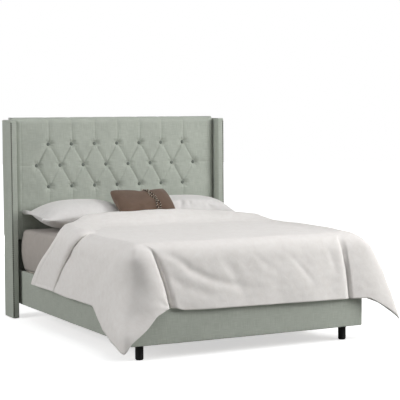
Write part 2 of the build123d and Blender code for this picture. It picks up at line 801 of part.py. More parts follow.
def duvet_turnback():
    """The head end folded back over the top, with its edge hanging at the sides."""
    cuts = [drape(soft_gap, soft_gap, duvet_fold_depth), below_hem(-1), below_hem(1), head_edge(0)]
    return (drape(turnback_wall, turnback_loft, duvet_fold_depth) - cuts) & head_edge(turnback_width)


save("headboard_frame", headboard_frame())
save("headboard_panel", headboard_panel())
save("headboard_pad", headboard_pad())
save("tufting_buttons", tufting_buttons())
save("headboard_lower_cover", headboard_lower_cover())
save("headboard_back_cover", headboard_back_cover())
for name, side in (("left", -1), ("right", 1)):
    save(f"{name}_wing_frame", wing_frame(side))
    save(f"{name}_wing_cover", wing_cover(side))
    save(f"{name}_nail_trim", nail_trim(side))
    save(f"{name}_side_rail_board", side_rail_board(side))
    save(f"{name}_side_rail_cover", side_rail_cover(side))
    save(f"{name}_head_bracket", head_bracket(side))
    save(f"{name}_corner_block", corner_block(side))
    save(f"{name}_slat_cleat", slat_cleat(side))
    save(f"{name}_foot_leg", foot_leg(side))
    save(f"{name}_pillow", pillow(side))
save("wing_glides", wing_glides())
save("wing_bolts", wing_bolts())
save("head_bracket_bolts", head_bolts())
save("foot_rail_board", foot_rail_board())
save("foot_rail_cover", foot_rail_cover())
save("corner_block_bolts", corner_bolts())
save("hanger_bolts", hanger_bolts())
save("leg_glides", leg_glides())
save("cross_slats", cross_slats())
save("support_legs", [support_leg(y) for y in support_places()])
save("leg_ferrules", [leg_ferrule(y) for y in support_places()])
for name, y in zip(("foot", "middle", "head"), support_places()):
    save(f"{name}_levelling_foot", levelling_foot(y))
save("box_spring", box_spring())
save("mattress", mattress())
save("fitted_sheet", fitted_sheet())
save("lumbar_pillow", lumbar_pillow())
save("lumbar_trim", lumbar_trim())
save("duvet", duvet())
save("duvet_turnback", duvet_turnback())
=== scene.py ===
from math import cos, pi, sin, sqrt

import bmesh
import bpy
import numpy as np
from mathutils import Euler, Matrix, Vector
from mathutils.bvhtree import BVHTree


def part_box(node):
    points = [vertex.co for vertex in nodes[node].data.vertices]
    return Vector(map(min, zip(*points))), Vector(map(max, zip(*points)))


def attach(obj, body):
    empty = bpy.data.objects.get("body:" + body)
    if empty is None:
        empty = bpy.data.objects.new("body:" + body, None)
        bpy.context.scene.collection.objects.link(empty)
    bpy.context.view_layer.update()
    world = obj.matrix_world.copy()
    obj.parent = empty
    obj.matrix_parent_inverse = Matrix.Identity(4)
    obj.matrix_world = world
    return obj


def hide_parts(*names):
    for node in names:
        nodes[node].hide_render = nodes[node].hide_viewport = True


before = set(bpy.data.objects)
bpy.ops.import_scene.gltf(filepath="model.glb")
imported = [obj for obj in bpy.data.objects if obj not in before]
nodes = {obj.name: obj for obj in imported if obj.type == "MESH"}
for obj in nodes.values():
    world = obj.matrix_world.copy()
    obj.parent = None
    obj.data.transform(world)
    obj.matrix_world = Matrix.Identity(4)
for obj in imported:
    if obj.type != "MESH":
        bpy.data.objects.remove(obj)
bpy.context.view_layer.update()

# Camera
# It stands off the foot end, left of the middle, at a seated person's eye height.
# A long lens keeps the sides nearly parallel, and its small shift sets the framing.
eye = Vector((-3.898, -8.166, 1.476))
# Turned to the right of +Y, tipped down and rolled, in radians
yaw, pitch, roll = 0.4903, 0.0586, -0.0064
camera_data = bpy.data.cameras.new("camera")
camera_data.sensor_width = 36.0
camera_data.lens = 119.67
camera_data.shift_x = -0.0852
camera_data.shift_y = -0.0287
camera = bpy.data.objects.new("camera", camera_data)
bpy.context.scene.collection.objects.link(camera)
bpy.context.scene.camera = camera
forward = Vector((sin(yaw) * cos(pitch), cos(yaw) * cos(pitch), -sin(pitch)))
across = Vector((cos(yaw), -sin(yaw), 0.0))
upward = across.cross(forward)
camera_right = across * cos(roll) + upward * sin(roll)
camera_up = upward * cos(roll) - across * sin(roll)
turn = Matrix((camera_right, camera_up, -forward)).transposed().to_4x4()
camera.matrix_world = Matrix.Translation(eye) @ turn

# Studio
# A pale floor and a white wall far off, lit by four soft boxes: one overhead, one to the
# right of the camera as the key, a weak one from the left to fill, and a low one behind.


def linear(hex_colour):
    """An sRGB hex colour as linear red, green, blue and alpha."""
    parts = [int(hex_colour[i:i + 2], 16) / 255 for i in (1, 3, 5)]
    return [c / 12.92 if c <= 0.04045 else ((c + 0.055) / 1.055) ** 2.4 for c in parts] + [1.0]


def start_material(name):
    """An empty material that is ready for its nodes."""
    material = bpy.data.materials.new(name)
    material.use_nodes = True
    material.node_tree.nodes.clear()
    return material


# Sockets that share a name are given by number. Of a Map Range, 0 is the value, 1 and 2 are
# the range it reads, and 3 and 4 the range it gives. Of a colour Mix, 0 is the share, 6 and 7
# are the colours, and output 2 is the result. A Wave's factor is its output 1.
def add(material, kind, inputs=(), **settings):
    """Adds one node with its settings. Each input gets a value, or a link from another node."""
    node = material.node_tree.nodes.new("ShaderNode" + kind)
    for name, value in settings.items():
        setattr(node, name, value)
    for name, value in dict(inputs).items():
        if isinstance(value, bpy.types.NodeSocket):
            material.node_tree.links.new(value, node.inputs[name])
        else:
            node.inputs[name].default_value = value
    return node


def finish_material(material, shader):
    """Joins the last shader to the material's surface."""
    add(material, "OutputMaterial", {"Surface": shader.outputs[0]})
    return material


def mesh_piece(name, points, faces, smooth=True):
    """A new object from points in the frame's metres and faces."""
    mesh = bpy.data.meshes.new(name)
    mesh.from_pydata([tuple(p) for p in points], [], [tuple(f) for f in faces])
    mesh.polygons.foreach_set("use_smooth", [smooth] * len(mesh.polygons))
    mesh.update()
    piece = bpy.data.objects.new(name, mesh)
    bpy.context.scene.collection.objects.link(piece)
    return piece


floor_half = 30.0
floor_corners = [(-floor_half, -floor_half, 0), (floor_half, -floor_half, 0),
                 (floor_half, floor_half, 0), (-floor_half, floor_half, 0)]
floor = mesh_piece("studio_floor", floor_corners, [(0, 1, 2, 3)])
floor_paint = start_material("studio_floor_matt_white")
floor_place = add(floor_paint, "TexCoord")
floor_far = add(floor_paint, "VectorMath", {0: floor_place.outputs["Object"]}, operation="LENGTH")
# The floor glows more away from the bed, so that the picture's edges are white
glow_from, glow_to, glow_near, glow_far = 2.0, 7.0, 0.58, 1.05
floor_fade = add(floor_paint, "MapRange", {0: floor_far.outputs["Value"], 1: glow_from, 2: glow_to,
                                           3: glow_near, 4: glow_far})
floor_matt = add(floor_paint, "BsdfDiffuse", {"Color": linear("#f4f4f4")})
floor_glow = add(floor_paint, "Emission", {"Color": linear("#ffffff"),
                                           "Strength": floor_fade.outputs[0]})
floor_sum = add(floor_paint, "AddShader", {0: floor_matt.outputs[0], 1: floor_glow.outputs[0]})
floor.data.materials.append(finish_material(floor_paint, floor_sum))
# What the floor throws back onto the bed, kept weaker than the white that the camera sees
bounce_drop = 0.002
bounce_corners = [(x, y, -bounce_drop) for x, y, _ in floor_corners]
bounce = mesh_piece("studio_floor_bounce", bounce_corners, [(0, 1, 2, 3)])
bounce_paint = start_material("studio_floor_matt_grey")
bounce_matt = add(bounce_paint, "BsdfDiffuse", {"Color": linear("#a6a6a3")})
bounce.data.materials.append(finish_material(bounce_paint, bounce_matt))
bounce.visible_camera = False

wall_radius, wall_foot, wall_height, wall_sides = 29.0, -1.0, 30.0, 64
wall_ring = [(wall_radius * cos(2 * pi * i / wall_sides), wall_radius * sin(2 * pi * i / wall_sides))
             for i in range(wall_sides)]
wall_points = [(x, y, z) for z in (wall_foot, wall_height) for x, y in wall_ring]
wall_faces = [(i, (i + 1) % wall_sides, wall_sides + (i + 1) % wall_sides, wall_sides + i)
              for i in range(wall_sides)]
wall = mesh_piece("studio_wall", wall_points, wall_faces)
wall_paint = start_material("studio_wall_white")
wall_glow = add(wall_paint, "Emission", {"Color": linear("#ffffff"), "Strength": 1.0})
wall.data.materials.append(finish_material(wall_paint, wall_glow))
for surface in (floor, wall):
    surface.visible_diffuse = False
    surface.visible_glossy = False
    surface.visible_shadow = False


def soft_box(name, place, target, size, watts):
    """A square area light that faces a point."""
    light = bpy.data.lights.new(name, "AREA")
    light.shape = "SQUARE"
    light.size = size
    light.energy = watts
    lamp = bpy.data.objects.new(name, light)
    bpy.context.scene.collection.objects.link(lamp)
    lamp.location = place
    lamp.rotation_euler = (Vector(target) - Vector(place)).to_track_quat("-Z", "Y").to_euler()
    lamp.visible_camera = False


soft_box("overhead_box", (0.2, -1.7, 4.5), (0.0, 0.0, 0.5), 4.0, 60.0)
soft_box("key_box", (5.2, -4.6, 3.4), (0.1, -0.2, 0.6), 3.0, 368.0)
soft_box("left_box", (-6.2, 0.1, 2.7), (-0.5, 0.0, 0.6), 3.0, 168.0)
soft_box("back_box", (0.8, 7.2, 1.3), (0.0, 1.0, 0.7), 2.4, 190.0)
world = bpy.data.worlds.new("studio_air")
world.use_nodes = True
world.node_tree.nodes["Background"].inputs["Color"].default_value = linear("#f7f8fa")
world.node_tree.nodes["Background"].inputs["Strength"].default_value = 0.23
bpy.context.scene.world = world
bpy.context.scene.view_settings.view_transform = "Standard"

# Timber frames
# Planed softwood stiles, rails, cleats and slats, cut square and screwed or glued together.
# Planing leaves open grain lines, a few millimetres apart, and a dull sheen.


def timber(name, early, late, axis, grain_gap):
    """Softwood or plywood whose grain runs along one axis, with lines grain_gap metres apart."""
    material = start_material(name)
    place = add(material, "TexCoord")
    grain_length = 20 * grain_gap
    scale = [1 / grain_gap] * 3
    scale[axis] = 1 / grain_length
    stretch = add(material, "Mapping", {"Vector": place.outputs["Object"], "Scale": scale})
    grain = add(material, "TexNoise", {"Vector": stretch.outputs[0], "Scale": 1.0, "Detail": 3.0})
    rings = add(material, "ValToRGB", {"Fac": grain.outputs[0]})
    rings.color_ramp.elements[0].position = 0.35
    rings.color_ramp.elements[0].color = linear(late)
    rings.color_ramp.elements[1].position = 0.62
    rings.color_ramp.elements[1].color = linear(early)
    lines = add(material, "Bump", {"Height": grain.outputs[0], "Strength": 0.3, "Distance": 0.0004})
    wood = add(material, "BsdfPrincipled", {"Base Color": rings.outputs[0], "Roughness": 0.62,
                                            "IOR": 1.5, "Normal": lines.outputs[0]})
    return finish_material(material, wood)


def finish_node(name, material, soft_edge=0.0):
    """Gives a construction piece its real finish, and rounds its edges where they are eased."""
    piece = nodes[name]
    if not piece.material_slots:
        piece.data.materials.append(None)
    for place in piece.material_slots:
        place.link = "OBJECT"
        place.material = material
    if soft_edge:
        ease = piece.modifiers.new("eased_edges", "BEVEL")
        ease.width = soft_edge
        ease.segments = 2
        ease.limit_method = "ANGLE"
        ease.angle_limit = 0.8


grain_gap = 0.004
pine_upright = timber("pine_planed_upright", "#d9bd8c", "#b98f58", 2, grain_gap)
pine_across = timber("pine_planed_across", "#d6b888", "#b58b55", 0, grain_gap)
pine_along = timber("pine_planed_along", "#d8bb8a", "#b78d56", 1, grain_gap)
for name in ("headboard_frame", "left_wing_frame", "right_wing_frame"):
    finish_node(name, pine_upright, 0.0015)
for name in ("foot_rail_board", "cross_slats"):
    finish_node(name, pine_across, 0.0015)
for name in ("left_side_rail_board", "right_side_rail_board", "left_slat_cleat", "right_slat_cleat",
             "left_corner_block", "right_corner_block"):
    finish_node(name, pine_along, 0.0015)

# Headboard panel
# Rotary-cut birch plywood behind the pad. The veneer has wide, faint figure along the sheet.
veneer_gap = 0.012
birch_ply = timber("birch_plywood_sanded", "#dcc59c", "#c6a778", 0, veneer_gap)
finish_node("headboard_panel", birch_ply)

# Tufted headboard pad
# Foam under a sage linen cover, rolled over at its top and sides and drawn in by buttons
# on twine. The spare cloth is folded into pleats from button to button and out to the edges.

# The period of a Wave texture at scale 1
wave_period = 2 * pi / 20


def linen(name, colour, slub_colour, thread):
    """Plain-woven linen, woven from uneven yarn: matt, with slubs and a faint sheen at the edge.

    Real threads are 0.8 mm apart. They are drawn twice as coarse so that a close view shows them.
    """
    material = start_material(name)
    cloth = add(material, "UVMap", uv_map="cloth")
    slub_width, slub_length, patches_per_metre = 0.003, 0.07, 6.0
    waves, slubs = [], []
    for way, slub_size in (("X", (slub_width, slub_length)), ("Y", (slub_length, slub_width))):
        waves.append(add(material, "TexWave", {"Vector": cloth.outputs[0], "Scale": wave_period / thread,
                                               "Distortion": 1.5, "Detail Scale": 0.4},
                         bands_direction=way))
        drawn_out = add(material, "Mapping", {"Vector": cloth.outputs[0],
                                              "Scale": (1 / slub_size[0], 1 / slub_size[1], 1.0)})
        slubs.append(add(material, "TexNoise", {"Vector": drawn_out.outputs[0], "Scale": 1.0,
                                                "Detail": 2.0}))
    weave = add(material, "Math", {0: waves[0].outputs[1], 1: waves[1].outputs[1]},
                operation="MAXIMUM")
    uneven = add(material, "Math", {0: slubs[0].outputs[0], 1: slubs[1].outputs[0]},
                 operation="MULTIPLY")
    spread = add(material, "MapRange", {0: uneven.outputs[0], 1: 0.12, 2: 0.42, 3: 0.0, 4: 1.0})
    tone = add(material, "Mix", {0: spread.outputs[0], 6: linear(slub_colour), 7: linear(colour)},
               data_type="RGBA")
    patches = add(material, "TexNoise", {"Vector": cloth.outputs[0], "Scale": patches_per_metre,
                                         "Detail": 2.0})
    fade = add(material, "MapRange", {0: patches.outputs[0], 1: 0.3, 2: 0.7, 3: 0.96, 4: 1.03})
    shade = add(material, "Mix", {0: 1.0, 6: tone.outputs[2], 7: fade.outputs[0]},
                data_type="RGBA", blend_type="MULTIPLY")
    threads = add(material, "Bump", {"Height": weave.outputs[0], "Strength": 0.35, "Distance": 0.0005})
    yarn = add(material, "Bump", {"Height": uneven.outputs[0], "Strength": 0.3, "Distance": 0.001,
                                  "Normal": threads.outputs[0]})
    cover = add(material, "BsdfPrincipled", {
        "Base Color": shade.outputs[2], "Roughness": 0.88, "IOR": 1.46, "Specular IOR Level": 0.25,
        "Sheen Weight": 0.18, "Sheen Roughness": 0.5, "Normal": yarn.outputs[0]})
    return finish_material(material, cover)


def mesh_points(piece):
    """A mesh's points, one row each."""
    points = np.empty(len(piece.data.vertices) * 3)
    piece.data.vertices.foreach_get("co", points)
    return points.reshape(-1, 3)


def lay_cloth(piece):
    """Cloth coordinates in metres, read from the side that each face looks to."""
    mesh = piece.data
    normals = np.empty(len(mesh.polygons) * 3)
    mesh.polygons.foreach_get("normal", normals)
    facing = np.abs(normals.reshape(-1, 3)).argmax(1)
    counts = np.empty(len(mesh.polygons), int)
    mesh.polygons.foreach_get("loop_total", counts)
    corners = np.empty(len(mesh.loops), int)
    mesh.loops.foreach_get("vertex_index", corners)
    facing = np.repeat(facing, counts)
    spot = mesh_points(piece)[corners]
    first = np.where(facing == 0, spot[:, 1], spot[:, 0])
    second = np.where(facing == 2, spot[:, 1], spot[:, 2])
    layer = mesh.uv_layers.new(name="cloth")
    layer.data.foreach_set("uv", np.stack([first, second], 1).ravel())


def dress(piece, material, slot, *stands_for):
    """Puts a material on a piece, lets it ride with the bed, and hides the plain solid it stands for."""
    piece.data.materials.clear()
    piece.data.materials.append(material)
    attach(piece, "bed")
    if stands_for:
        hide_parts(*stands_for)


def grid_faces(rows, columns, wrap=False, flip=False, start=0):
    """The four-sided faces of a grid of points, row by row."""
    reach = columns if wrap else columns - 1
    faces = []
    for i in range(rows - 1):
        for j in range(reach):
            a = start + i * columns + j
            b = start + i * columns + (j + 1) % columns
            face = (a, b, b + columns, a + columns)
            faces.append(face[::-1] if flip else face)
    return faces


def sew(piece, reach=1e-6, close=False):
    """Joins points that are nearer than reach, closes open edges if asked, and turns faces outwards."""
    work = bmesh.new()
    work.from_mesh(piece.data)
    bmesh.ops.remove_doubles(work, verts=work.verts, dist=reach)
    if close:
        bmesh.ops.holes_fill(work, edges=[e for e in work.edges if e.is_boundary], sides=0)
    bmesh.ops.recalc_face_normals(work, faces=work.faces)
    work.to_mesh(piece.data)
    work.free()


def ripple(points, size, seed, waves=14):
    """Soft uneven waves about size metres long, from about -1 to 1, the same on every run."""
    draw = np.random.default_rng(seed)
    total = np.zeros(points.shape[:-1])
    for _ in range(waves):
        way = draw.normal(size=3)
        way /= np.linalg.norm(way)
        length = size * draw.uniform(0.7, 1.6)
        total += np.sin(points @ way * 2 * pi / length + draw.uniform(0, 2 * pi))
    return total / sqrt(2 * waves)


def shoulder(distance, width):
    """How far cloth has sunk towards a fold: 1 in the fold, 0 where it is taut again."""
    near = np.clip(1 - distance / width, 0, 1)
    return 1 - np.sqrt(1 - near ** 2)


pad_low, pad_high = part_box("headboard_pad")
panel_low, panel_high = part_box("headboard_panel")
pad_side, pad_front = pad_high.x, pad_low.y
# How far the plywood's front and the pad's back lie behind the pad's face
panel_depth, pad_depth = panel_low.y - pad_front, pad_high.y - pad_front
side_roll, top_roll, hem_roll, panel_gap = 0.052, 0.046, 0.008, 0.001
pad_cell, roll_steps, back_steps, corner_power = 0.004, 11, 3, 2.4


def rolled_edge(edge, inward, radius, depth):
    """Places from an edge inwards, and their depth behind the face, over a quarter-round roll."""
    angles = np.linspace(pi / 2, 0, roll_steps)
    places = edge + inward * radius * (1 - np.sin(angles))
    depths = radius * (1 - np.cos(angles))
    back = np.linspace(depth, radius, back_steps + 1)[:-1]
    return np.concatenate([np.full(back_steps, edge), places]), np.concatenate([back, depths])


left_x, left_depth = rolled_edge(-pad_side, 1, side_roll, panel_depth)
flat_x = np.arange(-pad_side + side_roll + pad_cell, pad_side - side_roll, pad_cell)
pad_x = np.concatenate([left_x, flat_x, -left_x[::-1]])
depth_x = np.concatenate([left_depth, flat_x * 0, left_depth[::-1]])
low_z, low_depth = rolled_edge(pad_low.z, 1, hem_roll, panel_depth)
top_z, top_depth = rolled_edge(pad_high.z, -1, top_roll, pad_depth)
flat_z = np.arange(pad_low.z + hem_roll + pad_cell, pad_high.z - top_roll, pad_cell)
lip_z = np.full(2, panel_high.z + panel_gap)
lip_depth = np.array([pad_depth, panel_depth])
pad_z = np.concatenate([low_z, flat_z, top_z[::-1], lip_z])
depth_z = np.concatenate([low_depth, flat_z * 0, top_depth[::-1], lip_depth])
grid_x, grid_z = np.meshgrid(pad_x, pad_z)
roll_depth = (depth_x[None, :] ** corner_power + depth_z[:, None] ** corner_power) ** (1 / corner_power)
most = np.where(depth_z[:, None] > panel_depth, depth_z[:, None], panel_depth)
roll_depth = np.minimum(roll_depth, np.maximum(most, depth_x[None, :]))

button_pitch, row_pitch, top_drop = 0.180, 0.154, 0.195
button_rows = []
for row, count in enumerate((7, 8, 7)):
    height = pad_high.z - top_drop - row * row_pitch
    button_rows.append([((k - (count - 1) / 2) * button_pitch, height) for k in range(count)])
top_row, middle_row, bottom_row = button_rows
# Each pleat is its start, its end, and its depth beside the button and far from it. The
# pleats that were folded first are the deepest: towards the left above, to the right below.
first_folded, above_right, below_right = (0.0195, 0.0145), (0.0175, 0.0105), (0.0165, 0.0080)
to_top, to_hem, to_side = (0.017, 0.0095), (0.016, 0.0080), (0.014, 0.0045)
pleats = []
for buttons_row, folded_last in ((top_row, above_right), (bottom_row, below_right)):
    for k, place in enumerate(buttons_row):
        pleats += [(place, middle_row[k], *first_folded), (place, middle_row[k + 1], *folded_last)]
pleats += [(place, (place[0], pad_high.z + top_roll), *to_top) for place in top_row]
pleats += [(place, (place[0], pad_low.z), *to_hem) for place in bottom_row]
pleats += [(middle_row[0], (-pad_side, middle_row[0][1]), *to_side),
           (middle_row[-1], (pad_side, middle_row[-1][1]), *to_side)]
tuft_depth, pit_floor, pit_width, pit_power = 0.021, 0.013, 0.048, 2.1
lip_side, soft_side, lip_lean, fade_length = 0.012, 0.038, 0.25, 0.045
soft_dip, dip_width, usual_depth = 0.0055, 0.055, 0.0125
gather_height, gather_count, gather_radius, gather_width = 0.0012, 9, 0.03, 0.014
end_seam, seam_depth, seam_width = 0.055, 0.0022, 0.0035
slack_depth, slack_size, creep_depth, creep_size = 0.0012, 0.16, 0.0006, 0.05
face_fade, over_fade, over_most = 0.03, 0.04, 0.006
sink = np.zeros_like(grid_x)
for (x0, z0), (x1, z1), deep, shallow in pleats:
    run = sqrt((x1 - x0) ** 2 + (z1 - z0) ** 2)
    ux, uz = (x1 - x0) / run, (z1 - z0) / run
    along = np.clip((grid_x - x0) * ux + (grid_z - z0) * uz, 0, run)
    off_x, off_z = grid_x - x0 - along * ux, grid_z - z0 - along * uz
    aside = np.sqrt(off_x ** 2 + off_z ** 2)
    lower_side = off_z + lip_lean * off_x < 0
    width = np.where(lower_side, lip_side, soft_side)
    ends = np.minimum(along, run - along) if (x1, z1) in middle_row else along
    depth = shallow + (deep - shallow) * np.exp(-ends / fade_length)
    dip = soft_dip * np.clip(1 - aside / dip_width, 0, 1) ** 2 * (shallow / usual_depth)
    sink = np.maximum(sink, depth * shoulder(aside, width) + dip * (1 - shoulder(aside, width)))
gathers = np.zeros_like(grid_x)
for row in button_rows:
    for k, (x0, z0) in enumerate(row):
        away = np.sqrt((grid_x - x0) ** 2 + (grid_z - z0) ** 2)
        angle = np.arctan2(grid_z - z0, grid_x - x0)
        pit = tuft_depth * np.clip(1 - np.maximum(away - pit_floor, 0) / pit_width, 0, 1) ** pit_power
        sink = np.maximum(sink, pit)
        ring = np.exp(-((away - gather_radius) / gather_width) ** 2)
        gathers += gather_height * ring * np.cos(gather_count * angle + k + 2 * x0)
seam_sink = seam_depth * np.exp(-((np.abs(grid_x) - pad_side + end_seam) / seam_width) ** 2)
# The dents fade out round the rolled edges
open_face = np.clip(1 - roll_depth / face_fade, 0, 1)
pad_points = np.stack([grid_x, pad_front + roll_depth, grid_z], -1)
loose = slack_depth * (1 + ripple(pad_points, slack_size, 3))
loose += creep_depth * ripple(pad_points, creep_size, 4)
pad_points[..., 1] += np.clip((sink + seam_sink + gathers + loose) * open_face, 0, tuft_depth)
# The pleats run on over the top roll, half as deep
over_top = 0.5 * sink * np.clip(roll_depth / over_fade, 0, 1) * (depth_x[None, :] < 0.01)
pad_points[..., 2] -= np.clip(over_top, 0, over_most) * (grid_z > pad_high.z - 0.02)
pad = mesh_piece("tufted_headboard_pad", pad_points.reshape(-1, 3),
                 grid_faces(len(pad_z), len(pad_x)))
sew(pad, close=True)
lay_cloth(pad)
thread = 0.0016
sage_linen = linen("sage_linen_woven", "#b8beb4", "#a5aaa0", thread)
dress(pad, sage_linen, "upholstery_linen", "headboard_pad")

# Tufting buttons
# Steel shells with a disc of the same linen pressed over them, 26 mm across, and pulled
# into the foam. The cloth is tight over the dome and puckers where it goes under the rim.
button_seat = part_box("tufting_buttons")[1].y
button_profile = [(0.0002, 0.0058), (0.0035, 0.0056), (0.0070, 0.0048), (0.0100, 0.0033),
                  (0.0120, 0.0012), (0.0128, 0.0002), (0.0124, 0.0)]
button_steps = 28


def turned(profile, steps, pucker=0.0):
    """Points and faces of a turned form about its own axis: the profile is radius and height."""
    points = [(0.0, 0.0, profile[0][1])]
    for radius, height in profile:
        for i in range(steps):
            angle = 2 * pi * i / steps
            swell = 1 + pucker * (i % 2) * radius / profile[-1][0]
            points.append((radius * swell * cos(angle), radius * swell * sin(angle), height))
    faces = [(0, 1 + i, 1 + (i + 1) % steps) for i in range(steps)]
    faces += grid_faces(len(profile), steps, wrap=True, flip=True, start=1)
    faces.append(tuple(1 + (len(profile) - 1) * steps + i for i in range(steps))[::-1])
    return np.array(points), faces


def repeated(name, points, faces, places, to_frame):
    """One piece made of the same form set at several places."""
    turned_points = points @ np.array(to_frame).T
    all_points = np.concatenate([turned_points + np.array(place) for place in places])
    all_faces = [tuple(v + i * len(points) for v in face)
                 for i in range(len(places)) for face in faces]
    return mesh_piece(name, all_points, all_faces)


face_forward = [(1, 0, 0), (0, 0, -1), (0, 1, 0)]
button_points, button_faces = turned(button_profile, button_steps, -0.03)
button_places = [(x, button_seat, z) for row in button_rows for x, z in row]
buttons = repeated("linen_covered_buttons", button_points, button_faces, button_places, face_forward)
lay_cloth(buttons)
# The buttons' linen is given a darker colour than the pad's: painted shade of the deep pits they sit in.
pit_shaded_linen = linen("sage_linen_painted_pit_shade", "#818780", "#747a72", thread)
dress(buttons, pit_shaded_linen, "upholstery_linen", "tufting_buttons")

# Headboard's lower cover and back
# Linen over a thin pad below the tufting, and a plain cloth tacked over the back of the
# frame. Both are stretched flat and fixed with staples along their edges.


def spaced(low, high, round_low, round_high, step):
    """Places from low to high, close together where an edge is rounded."""
    shares = np.array([0.0, 0.13, 0.3, 0.5, 0.75, 1.0])
    count = max(2, int((high - low - round_low - round_high) / step) + 1)
    middle = np.linspace(low + round_low, high - round_high, count)
    first = low + shares[:-1] * round_low if round_low else []
    last = high - shares[:-1][::-1] * round_high if round_high else []
    return np.concatenate([first, middle, last])


def wrapped_box(name, low, high, radius, crown, step, open_sides=(), slack=0.0, seed=1):
    """Cloth stretched round a board: rounded edges, faces crowned by the padding, some sides open."""
    low, high = np.array(low), np.array(high)
    inset_low = np.array([0.0 if (axis, -1) in open_sides else radius for axis in range(3)])
    inset_high = np.array([0.0 if (axis, 1) in open_sides else radius for axis in range(3)])
    places = [spaced(low[a], high[a], inset_low[a], inset_high[a], step) for a in range(3)]
    points, faces, count = [], [], 0
    for axis in range(3):
        i, j = (axis + 1) % 3, (axis + 2) % 3
        for sign, level in ((-1, low[axis]), (1, high[axis])):
            if (axis, sign) in open_sides:
                continue
            first, second = np.meshgrid(places[i], places[j], indexing="ij")
            spot = np.empty(first.shape + (3,))
            spot[..., i], spot[..., j], spot[..., axis] = first, second, level
            core = np.clip(spot, low + inset_low, high - inset_high)
            away = spot - core
            normal = away / np.linalg.norm(away, axis=-1, keepdims=True)
            middle, half = (low + high) / 2, (high - low) / 2
            swell = 1 - ((first - middle[i]) / half[i]) ** 2
            swell *= 1 - ((second - middle[j]) / half[j]) ** 2
            rise = -crown + crown * np.clip(swell * 3, 0, 1) + slack * (ripple(spot, 0.22, seed) - 1)
            points.append((core + normal * (radius + rise[..., None])).reshape(-1, 3))
            faces += grid_faces(*first.shape, flip=sign > 0, start=count)
            count += first.size
    piece = mesh_piece(name, np.concatenate(points), faces)
    sew(piece, reach=2e-5)
    return piece


def give_thickness(piece, thickness):
    """Makes a surface into a shell that is thickened inwards."""
    shell = piece.modifiers.new("padding", "SOLIDIFY")
    shell.thickness = thickness
    shell.offset = -1.0
    shell.use_even_offset = True


# The back cloth is turned in round the frame's edges, so that no timber shows beside the wings
turned_in, cloth_over = 0.012, 0.0004
for name, node, edge, slot, turn_in in (
        ("linen_lower_cover", "headboard_lower_cover", 0.002, "upholstery_linen", (0.0, 0.0, 0.0)),
        ("tacked_back_cloth", "headboard_back_cover", 0.0009, "back_cloth",
         (cloth_over, turned_in, cloth_over))):
    low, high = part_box(node)
    low, high = low - Vector(turn_in), high + Vector((turn_in[0], 0.0, 0.0))
    cover = wrapped_box(name, low, high, edge, 0.0, 0.03)
    lay_cloth(cover)
    dress(cover, sage_linen, slot, node)

# Wing covers
# Linen over a thin layer of wadding on each wing's frame, pulled tight and stapled at the
# foot. It rounds the edges and crowns the faces a little, and the nails draw it in.
wing_edge, wing_wadding, wing_crown = 0.008, 0.0052, 0.0012
nail_low, nail_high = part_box("left_nail_trim")
nail_pitch, nail_radius = 0.014, 0.005
nail_count = int(round((nail_high.z - nail_low.z - 2 * nail_radius) / nail_pitch)) + 1
nail_rise = nail_low.z + nail_radius
dent_width, dent_depth, front_depth = 0.007, 0.0004, 0.01
for side, sign in (("left", -1), ("right", 1)):
    low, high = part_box(f"{side}_wing_cover")
    wing = wrapped_box(f"{side}_wing_linen", low, high, wing_edge, wing_crown, 0.007,
                       open_sides=((2, -1),), slack=0.0005, seed=5)
    points = mesh_points(wing)
    nail_low, nail_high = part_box(f"{side}_nail_trim")
    nail_x = (nail_low.x + nail_high.x) / 2
    phase = (points[:, 2] - nail_rise) / nail_pitch
    drawn = np.exp(-((points[:, 0] - nail_x) / dent_width) ** 2) * (points[:, 1] < low.y + front_depth)
    drawn *= (phase > -1) & (phase < nail_count)
    points[:, 1] += drawn * dent_depth * (1 + np.cos(2 * pi * phase))
    wing.data.vertices.foreach_set("co", points.ravel())
    wing.data.update()
    give_thickness(wing, wing_wadding)
    lay_cloth(wing)
    dress(wing, sage_linen, "upholstery_linen", f"{side}_wing_cover")

# Nail-head trim
# Domed steel upholstery nails, plated in dark pewter, driven in a close row beside each
# wing's outer edge. Each head is 10 mm across and catches one small highlight.
pewter = start_material("pewter_plated_antiqued")
pewter_place = add(pewter, "TexCoord")
tarnish_size = 0.006
tarnish = add(pewter, "TexNoise", {"Vector": pewter_place.outputs["Object"], "Scale": 1 / tarnish_size,
                                   "Detail": 3.0})
pewter_tone = add(pewter, "Mix", {0: tarnish.outputs[0], 6: linear("#2c2b29"), 7: linear("#63615a")},
                  data_type="RGBA")
pewter_shader = add(pewter, "BsdfPrincipled", {"Base Color": pewter_tone.outputs[2], "Metallic": 1.0,
                                               "Roughness": 0.24})
finish_material(pewter, pewter_shader)
nail_profile = [(0.0002, 0.00250), (0.0015, 0.00235), (0.0030, 0.0018), (0.0042, 0.0010), (0.0050, 0.0)]
nail_steps = 14
nail_points, nail_faces = turned(nail_profile, nail_steps)
for side in ("left", "right"):
    low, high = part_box(f"{side}_nail_trim")
    places = [((low.x + high.x) / 2, high.y, nail_rise + i * nail_pitch) for i in range(nail_count)]
    nails = repeated(f"{side}_nail_heads", nail_points, nail_faces, places, face_forward)
    dress(nails, pewter, "nail_pewter", f"{side}_nail_trim")

